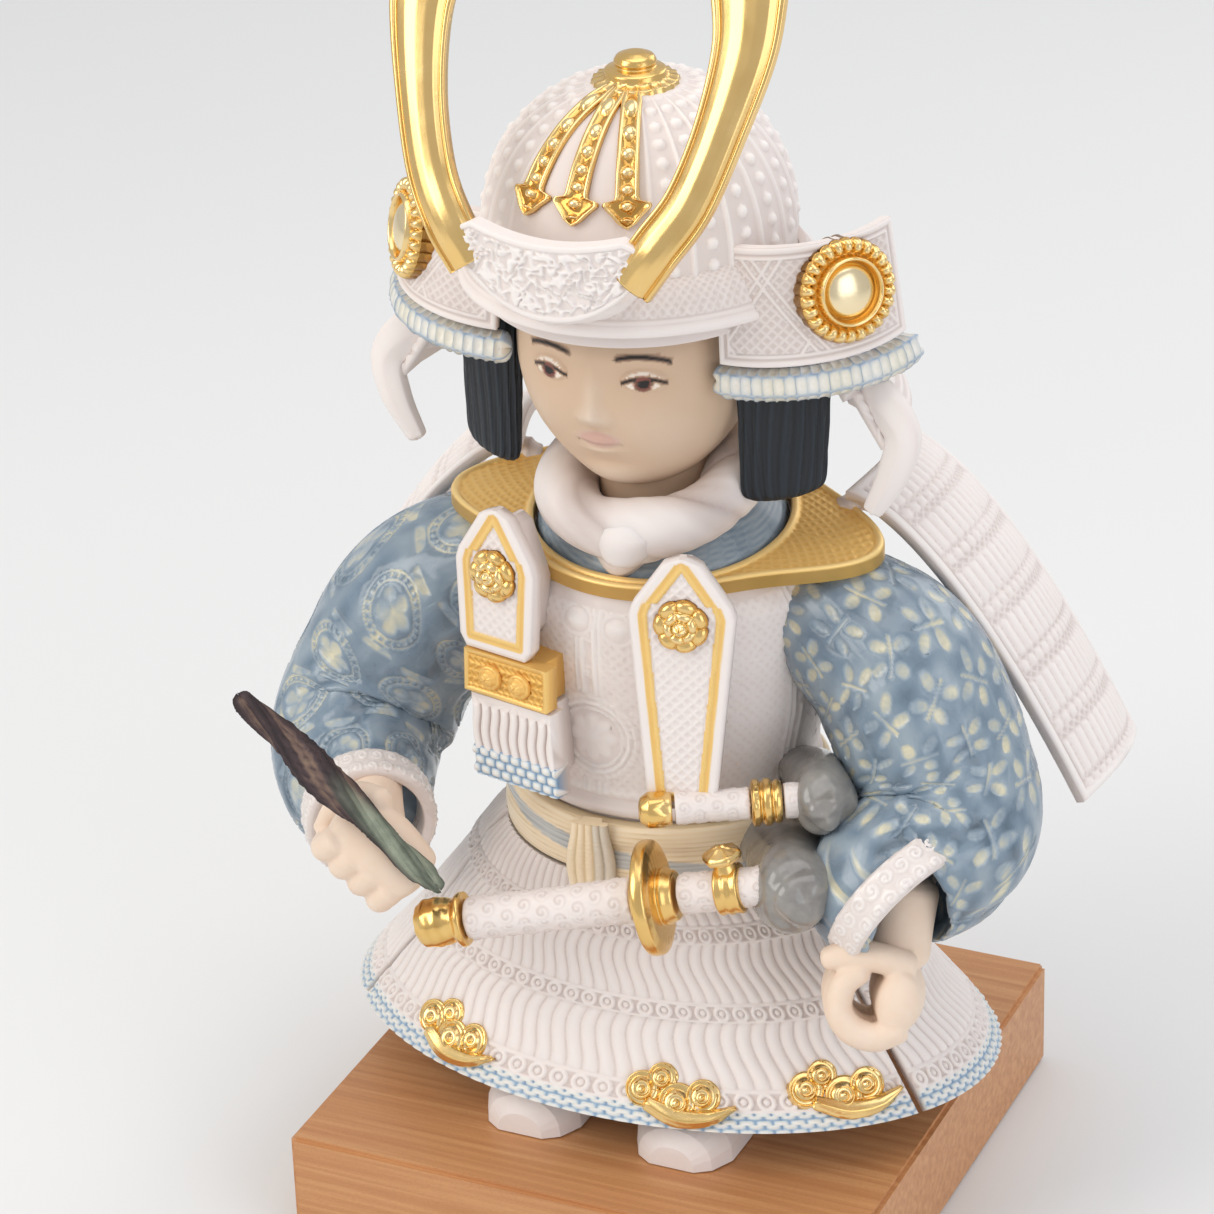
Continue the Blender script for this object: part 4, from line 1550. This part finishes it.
# Points of a hanging sheet: across its width from the corner, down its height, leaning outward.
def hangingGrid(corner, sign, width, height, lean, columns, rows, lift):
    across, rise, out = hangingFrame(sign)
    v, u = np.meshgrid(spread(0, 1, rows), spread(-1, 1, columns), indexing="ij")
    x, down = u * width / 2, v * height
    points = (np.asarray(corner) + across * (x + lean * v)[..., None] - rise * down[..., None]
              + out * lift)
    return points, x, down


# Where the clasp, the lace and the hem hang below the right plate, in mm along its own lean
clasp = {"drop": 38.4, "wide": 25.4, "tall": 11.2, "lean": 0.09, "dimple": 1.9, "rim": 1.1}
lace = {"wide": 24.6, "tall": 14.6, "pleat": 2.9, "strip": 2.6, "hemWide": 25.6, "hemTall": 7.6,
        "knitWide": 3.2, "knitTall": 2.4}


# The gilded clasp under the right plate: hammered dimples, a rim, and two small round bosses.
def bandPatches():
    across, rise, out = hangingFrame(-1)
    top = rightCorner - rise * clasp["drop"] - across * (clasp["lean"] * 38)
    half, tall, dimple = clasp["wide"] / 2, clasp["tall"], clasp["dimple"]
    points, x, down = hangingGrid(top, -1, clasp["wide"], tall, 0, 130, 60, 4.3)
    edge = np.minimum.reduce([x + half, half - x, down, tall - down])
    dents = -0.35 * dome(np.hypot(cell(x + 0.7 * np.sin(down * 2), dimple), cell(down, dimple)),
                         0.9)
    height = np.where(edge < clasp["rim"], 0.25, dents)
    body = plate(points, height, 4.2, shade=np.clip(0.5 + 0.7 * height, 0, 1))
    padPoints = hangingGrid(top, -1, clasp["wide"] - 2 * breast["padInset"], 11.0, 0, 20, 16, 0.4)[0]
    body += plate(padPoints, 0 * padPoints[..., 0], 8.0)
    studs = []
    for x0 in (-4.5, 4.5):
        place = top + across * x0 - rise * 6.0 + out * 4.2
        studs.append(turned(place, out, [(0, 3.3), (1.0, 3.3), (1.5, 2.7), (1.1, 2.2), (2.4, 1.7),
                                         (2.8, 0.5)], 60, 0.2,
                            lambda t, s: 0.2 * np.abs(np.cos(4 * t)) * (s > 0.6), up=tuple(rise)))
    return body + studs, top, across, rise


bandParts, bandTop, chestAcross, chestRise = bandPatches()
addPiece("chestClasp", bandParts, mattGilding, ["plate_band"])


# Pleated lace below the clasp and its knitted hem.
def lacePatches():
    top = bandTop - chestRise * 11.9 - chestAcross * (clasp["lean"] * 11.5)
    points, x, down = hangingGrid(top, -1, lace["wide"], lace["tall"], -1.3, 150, 60, 3.4)
    pleat = np.abs(np.cos(math.pi * (x + 0.5 * np.sin(down * 0.45)) / lace["pleat"])) ** 0.7
    strip = (down < lace["strip"])
    height = np.where(strip, 0.5, 1.1 * pleat)
    pleats = plate(points, height - 0.2, 5.0, 0.0 * x,
                   np.where(strip, 0.55, np.clip(0.1 + 0.6 * pleat, 0, 1)))
    foot = top - chestRise * 14.0 - chestAcross * (clasp["lean"] * 14.5)
    points, x, down = hangingGrid(foot, -1, lace["hemWide"], lace["hemTall"], -0.7, 150, 44, 4.0)
    row = down / lace["knitTall"]
    stitch = np.abs(np.cos(math.pi * (x / lace["knitWide"] + 0.5 * (np.floor(row) % 2)))) ** 0.6
    knit = stitch * np.abs(np.sin(math.pi * row)) ** 0.5
    hem = plate(points, 1.1 * knit - 0.3, 5.2, 0 * x + 1.0, np.clip(0.1 + 0.8 * knit, 0, 1))
    padPoints = hangingGrid(top, -1, lace["wide"] - 2 * breast["padInset"], 18.0, -1.5, 20, 20,
                            -0.6)[0]
    return pleats + hem + plate(padPoints, 0 * padPoints[..., 0], 8.0)


addPiece("chestLace", lacePatches(), skirtBisque, ["plate_lace"])
print("plates ready")


# Sword and dagger

sword = {"start": (-39.5, -67.0, waistZ - 15.3), "ahead": (82.3, 18.0, 18.4), "grip": 5.5,
         "guard": 14.5, "scabbard": 4.8}
swordStart = np.array(sword["start"])
swordAhead = np.array(sword["ahead"]) / np.linalg.norm(sword["ahead"])


# Hammered gold: a dimpled surface of crossed waves.
def nuggets(t, s):
    return 0.14 * np.sin(5 * t + 0.9 * s) * np.sin(3 * t - 1.3 * s)


# Fine tendrils cut into the white grip between two plain rims.
def engraved(t, s):
    return -0.35 * scroll(t * 5.5, s + 0 * t, 4.6)


# Short teeth around the edge of the sword's guard, |cos 14 t| between its two faces.
def milled(t, s):
    return 0.05 * np.abs(np.cos(14 * t)) * (np.abs(s - 4) > 1.6) * (s > 2) * (s < 7)


# Turned pieces along one axis: each ring is a distance from the piece's start and a radius, and
# the radii are shares of the radius given, so a piece is unit * share at every ring.
def addTurned(origin, ahead, rows):
    for name, nodeName, along, rings, unit, columns, step, relief, look in rows:
        shape = [(place, share * unit) for place, share in rings]
        addPiece(name, [turned(origin + ahead * along, ahead, shape, columns, step, relief)],
                 look, [nodeName])


big = sword["guard"] / sword["grip"]
addTurned(swordStart, swordAhead, [
    ("swordPommel", "sword_pommel", 0,
     [(0.0, 0.5), (0.5, 0.85), (2.4, 1.1), (6, 1.14), (9.4, 1.0), (10.4, 1.02), (11.6, 1.26),
      (12.9, 1.24)], sword["grip"], 120, 0.3, nuggets, gilding),
    ("swordGrip", "sword_grip", 13.4,
     [(0.0, 0.9), (1.2, 0.97), (21.7, 0.95), (41, 1.02), (43, 1.02)],
     sword["grip"], 120, 0.3, engraved, bisque),
    ("swordGuard", "sword_guard", 56.9,
     [(0.0, 1.2), (0.5, 1.42), (1.6, 1.5), (2.2, 1.4), (2.35, 0.86 * big), (2.7, 0.97 * big),
      (4.0, 0.99 * big), (5.8, 0.97 * big), (6.3, 0.88 * big), (6.7, 0.8 * big), (6.85, 1.25),
      (8, 1.32), (9.0, 1.2), (10.6, 1.1)], sword["grip"], 200, 0.3, milled, gilding),
    ("swordScabbard", "sword_scabbard", 68.4,
     [(0.0, 1.0), (1.0, 1.04), (16, 0.99), (30, 0.94), (31.6, 0.6)],
     sword["scabbard"], 120, 0.3, engraved, bisque)])
s = sword["scabbard"]
hangerAt = swordStart + swordAhead * 81.0
hangerRise = np.cross(np.cross(swordAhead, (0, 0, 1)), swordAhead)
hangerRise /= np.linalg.norm(hangerRise)
addPiece("swordHanger", [
    turned(hangerAt - swordAhead * 3.3, swordAhead,
           [(0, s + 0.6), (0.6, s + 1.6), (2.2, s + 1.2), (3.3, s + 1.7), (4.4, s + 1.2),
            (6.0, s + 1.6), (6.6, s + 0.6)], 90, 0.25),
    turned(hangerAt + hangerRise * (s - 0.6), hangerRise,
           [(0, 3.3), (2.0, 2.9), (3.2, 2.4), (4.0, 4.6), (5.4, 5.1), (6.4, 4.4), (7.0, 2.8),
            (7.8, 1.2)], 72, 0.25,
           lambda t, s: 0.35 * np.abs(np.cos(3 * t)) * (s > 3), up=tuple(swordAhead))],
    gilding, ["sword_hanger"])

dagger = {"start": (14.5, -51.5, waistZ + 19.7), "ahead": (47.5, 23.0, 1.7), "grip": 4.0}
daggerAhead = np.array(dagger["ahead"]) / np.linalg.norm(dagger["ahead"])


# A wavy border on the cap: height 0.25 beyond 5.6 + 0.9 cos(6 t).
def capped(t, s):
    return 0.25 * (s > 5.6 + 0.9 * np.cos(6 * t))


# Wide tendrils cut into the dagger's white parts.
def tendrils(t, s):
    return -scroll(t * 4, s + 0 * t, 4.0)


# Beads around the guard, |cos 8 t| in a narrow ring.
def beaded(t, s):
    return 0.2 * np.abs(np.cos(8 * t)) * (s > 0.8) * (s < 1.7)


addTurned(np.array(dagger["start"]), daggerAhead, [
    ("daggerCap", "dagger_pommel", 0,
     [(0.0, 0.4), (0.5, 0.8), (2.4, 1.12), (6.0, 1.12), (7.6, 1.1), (8.4, 1.0)],
     dagger["grip"], 90, 0.25, capped, gilding),
    ("daggerGrip", "dagger_grip", 8.9, [(0.0, 0.98), (9.0, 0.94), (18.1, 0.98)],
     dagger["grip"], 90, 0.3, lambda t, s: 0.3 * tendrils(t, s), bisque),
    ("daggerGuard", "dagger_guard", 27.4,
     [(0.0, 1.2), (0.6, 1.46), (1.8, 1.46), (2.5, 1.22), (3.4, 1.46), (4.8, 1.46), (5.3, 1.2),
      (6.2, 1.38), (7.5, 1.25)], dagger["grip"], 90, 0.25, beaded, gilding),
    ("daggerScabbard", "dagger_scabbard", 35.4,
     [(0.0, 1.08), (8.0, 1.03), (12.8, 0.98), (14.6, 0.6)],
     dagger["grip"], 90, 0.3, lambda t, s: 0.25 * tendrils(t, s), bisque)])


# Soft creases that wind along a tied loop.
def creased(u, v):
    return 0.5 * np.cos(turnFull * 3 * u + 9 * v) - 0.4


base = waistZ - 112.0
wraps = [
    ([(30, -16, 108, 8, 9), (42, -24, 110, 10, 11), (49, -38, 112, 11, 11),
      (54, -47, 115, 10.3, 10.3), (57, -51, 116, 7, 7)],
     (0, 0, 1)),
    ([(36, -4, 124, 6, 6), (46, -16, 129, 7, 7), (53, -27, 132, 7.8, 7.8),
      (56, -34, 132.5, 7.4, 7.4), (58, -38, 133, 4.5, 4.5)],
     (0, 0, 1)),
    ([(46, -22, 112, 7, 5), (48, -24, 122, 6, 5), (51, -26, 130, 5, 4)], (0, 1, 0))]
wrapPatches = []
for points, up in wraps:
    path = finePath(points, 70)
    path[:, 2] += base
    wrapPatches.append(tube(path[:, :3], path[:, 3] - 0.3, path[:, 4] - 0.3, 80, up=up,
                            height=creased))
addPiece("hipLoops", wrapPatches, greyLoops, ["hip_wrap"],
         smooth={"voxel": 0.55, "factor": 0.5, "rounds": 6})

branch = {"wide": 9.0, "start": (-77.5, -78.6, waistZ + 46.5), "end": (-30.0, -74.2, waistZ + 1.5)}


# A broken branch: radius by a list of widths along its length, with torn ridges and knots;
# lichen on one side.
def branchPatch():
    route = np.asarray(branch["start"]) + np.outer(spread(0, 1, 190),
                                                   np.subtract(branch["end"], branch["start"]))
    widths = [0.45, 0.62, 0.66, 0.8, 0.95, 1.05, 1.0, 0.9, 0.7, 0.55, 0.5, 0.62, 0.6, 0.3]
    half = finePath(np.array(widths)[:, None], 190)[:, 0] * branch["wide"] / 2

    # Split bark: crossed waves around and along the branch.
    def torn(u, v):
        t = turnFull * u
        return (0.5 * np.sin(3 * t + 17 * v) + 0.5 * np.abs(np.sin(6 * t + 5 * np.sin(9 * v))) ** 0.5
                + 0.25 * np.sin(13 * t + 60 * v) - 0.75)
    rows = spread(0, 1, 198)[:, None]
    columns = np.arange(72)[None] / 72
    lichen = np.clip(5 * (rows - 0.62) + 1.6 * np.cos(turnFull * columns - 1.0) - 0.5, 0, 1)
    return tube(route, half * 1.02, half * 0.84, 72, up=(0, 0, 1), height=torn, tone=lichen)


addPiece("brokenBranch", [branchPatch()], barkPaint, ["branch"])


# Hands

hand = {"wide": 22.0}


# A child's closed fist from rolls: a palm, four curled fingers, a thumb and the wrist, melted
# together later.
def fistPatches(centre, grip, knuckle, elbow, wrist, thumbAt):
    g = np.array(grip, float)
    g /= np.linalg.norm(g)
    n = np.array(knuckle, float)
    n -= g * n.dot(g)
    n /= np.linalg.norm(n)
    side = np.cross(g, n)
    w = hand["wide"] / 2

    # A point from the fist's centre along its grip, its back and its side.
    def at(a, b, c):
        return np.asarray(centre, float) + g * a + n * b + side * c
    rolls = [([at(-0.95 * w, -0.1 * w, 0.5 * w), at(0, -0.1 * w, 0.58 * w),
               at(0.95 * w, -0.1 * w, 0.5 * w)],
              [0.52 * w, 0.6 * w, 0.48 * w], [0.72 * w, 0.82 * w, 0.72 * w], n)]
    for k in range(4):
        a = (0.84 - 0.56 * k) * w
        thick = (0.34 - 0.015 * abs(k - 1)) * w
        arc = [at(a, math.cos(t) * 0.76 * w, math.sin(t) * 0.8 * w)
               for t in np.radians((50, 10, -30, -70, -115, -150))]
        rolls.append((arc, [thick, thick, 1.02 * thick, 0.96 * thick, 0.9 * thick, 0.8 * thick],
                      None, g))
    thumb = [at(*(w * np.array(point))) for point in thumbAt]
    rolls.append((thumb, [0.36 * w, 0.34 * w, 0.35 * w, 0.27 * w], None, n))
    arm = [elbow, tuple(0.5 * (np.array(elbow) + np.array(wrist))), wrist]
    rolls.append((arm, [0.7 * w, 0.7 * w, 0.74 * w], [0.64 * w, 0.62 * w, 0.62 * w], n))
    patches = []
    for route, half, tall, up in rolls:
        rows = finePath(np.column_stack([np.array(route), half, half if tall is None else tall]),
                        40)
        patches.append(tube(rows[:, :3], rows[:, 3], rows[:, 4], 40, up=tuple(up)))
    tip = np.asarray(thumb[-1])
    toward = tip - np.asarray(thumb[-2])
    toward /= np.linalg.norm(toward)
    nailUp = g * 1.0
    route = np.array([tip - toward * 1.6 + nailUp * 2.55, tip + toward * 1.0 + nailUp * 2.35])
    patches.append(tube(finePath(route, 12), 1.9, 0.55, 30, up=tuple(nailUp)))
    return patches


down = np.array([0, 0, waistZ - 112.0])
addPiece("rightFist",
         fistPatches(np.array([-50.5, -66, 115.5]) + down, (-0.73, -0.07, 0.68),
                     (-0.45, -0.7, -0.55),
                                  np.array([-62, -44, 119]) + down,
                                  np.array([-54, -58, 117]) + down,
                                  [(0.7, -0.75, 0.75), (1.13, -0.55, 0.2), (1.18, -0.1, -0.42),
                                   (1.08, 0.42, -0.76)]),
         fleshHands, ["hand_right"], smooth={"voxel": 0.45, "factor": 0.5, "rounds": 7})
addPiece("leftFist",
         fistPatches(np.array([72, -44, 88]) + down, (0.38, -0.81, 0.3), (-0.15, -0.1, -1),
                                 np.array([77, -32, 112]) + down, np.array([76, -37, 97]) + down,
                                 [(0.55, -0.85, 0.6), (0.75, -1.0, 0.0), (0.7, -1.0, -0.6),
                                  (0.6, -0.8, -1.15)]),
         fleshHands, ["hand_left"], smooth={"voxel": 0.45, "factor": 0.5, "rounds": 7})
print("weapons and hands ready")


# Pieces whose CAD shape is shown as it is

for name, look in (("wooden_base", beech), ("trousers", trouserGlaze), ("boot_left", bootBisque),
                   ("boot_right", bootBisque)):
    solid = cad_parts[name]
    solid.data.materials.clear()
    solid.data.materials.append(look)


# Stage: a pale floor that runs past the picture's edges, soft lamps and a white surround

# The pale paper floor, wide enough to fill the picture.
def addStage():
    material, tree, output = startLook("pale_paper", "")
    place = node(tree, "ShaderNodeTexCoord").outputs["Object"]
    haze = node(tree, "ShaderNodeTexNoise", {"Scale": 2.5, "Detail": 1.0},
                {"Vector": place}).outputs["Fac"]
    pale = colourRamp(tree, haze, [(0.0, "#E5E5E4"), (1.0, "#E9E9E8")])
    shader = node(tree, "ShaderNodeBsdfPrincipled", {"Roughness": 0.85}, {"Base Color": pale})
    tree.links.new(shader.outputs[0], output.inputs["Surface"])
    mesh = bpy.data.meshes.new("floor")
    mesh.from_pydata([(-3, -3, 0), (3, -3, 0), (3, 3, 0), (-3, 3, 0)], [], [(0, 1, 2, 3)])
    mesh.materials.append(material)
    floor = bpy.data.objects.new("floor", mesh)
    bpy.context.scene.collection.objects.link(floor)


# An area lamp that faces a point.
def addLamp(name, place, target, size, power, colour):
    data = bpy.data.lights.new(name, "AREA")
    data.shape = "RECTANGLE"
    data.size, data.size_y = size
    data.energy = power
    data.color = linear(colour)[:3]
    lamp = bpy.data.objects.new(name, data)
    direction = Vector(target) - Vector(place)
    lamp.location = place
    lamp.rotation_euler = direction.to_track_quat("-Z", "Y").to_euler()
    bpy.context.scene.collection.objects.link(lamp)


# A background that lights the scene evenly from all sides.
def addSurround(strength, colour):
    world = bpy.data.worlds.new("studio")
    world.use_nodes = True
    shader = world.node_tree.nodes["Background"]
    shader.inputs["Color"].default_value = linear(colour)
    shader.inputs["Strength"].default_value = strength
    bpy.context.scene.world = world


studio = {"surround": 0.64, "key": 11.0, "fill": 5.2, "top": 6.0, "back": 3.4}
addStage()
addSurround(studio["surround"], "#F6F7FA")
addLamp("keyWindow", (-0.9, -1.0, 1.1), (0, 0, 0.18), (0.9, 1.2), studio["key"], "#FFFBF4")
addLamp("fillPanel", (1.3, -0.7, 0.7), (0, 0, 0.2), (1.0, 1.2), studio["fill"], "#F4F8FF")
addLamp("topPanel", (0.1, 0.1, 1.5), (0, 0, 0.2), (1.2, 1.2), studio["top"], "#FFFFFF")
addLamp("backPanel", (0.5, 1.3, 0.9), (0, 0, 0.25), (1.0, 0.8), studio["back"], "#FFFFFF")


# Camera: it looks at the point on the figure's axis that the photograph's middle shows

shot = {"azimuth": 25.0, "elevation": 27.0, "roll": 2.0, "distance": 1150.0,
        "aim": (0.0, 0.0, 160.0),
        "slide": -14.5, "lens": 136.41, "sensor": 36.0}


# right = right0 cos roll - up0 sin roll, and place = aim + slide right + distance back.
def addCamera():
    a, e, roll = (math.radians(shot[key]) for key in ("azimuth", "elevation", "roll"))
    back = Vector((math.sin(a) * math.cos(e), -math.cos(a) * math.cos(e), math.sin(e)))
    level = Vector((math.cos(a), math.sin(a), 0))
    upright = back.cross(level)
    right = level * math.cos(roll) - upright * math.sin(roll)
    up = upright * math.cos(roll) + level * math.sin(roll)
    place = (Vector(shot["aim"]) + right * shot["slide"] + back * shot["distance"]) * mm
    data = bpy.data.cameras.new("camera")
    data.lens = shot["lens"]
    data.sensor_width = shot["sensor"]
    data.clip_start = 0.05
    camera = bpy.data.objects.new("camera", data)
    camera.matrix_world = Matrix(((right.x, up.x, back.x, place.x),
                                  (right.y, up.y, back.y, place.y),
                                  (right.z, up.z, back.z, place.z), (0, 0, 0, 1)))
    bpy.context.scene.collection.objects.link(camera)
    bpy.context.scene.camera = camera


addCamera()
bpy.context.scene.view_settings.view_transform = "Standard"
print("stage ready")
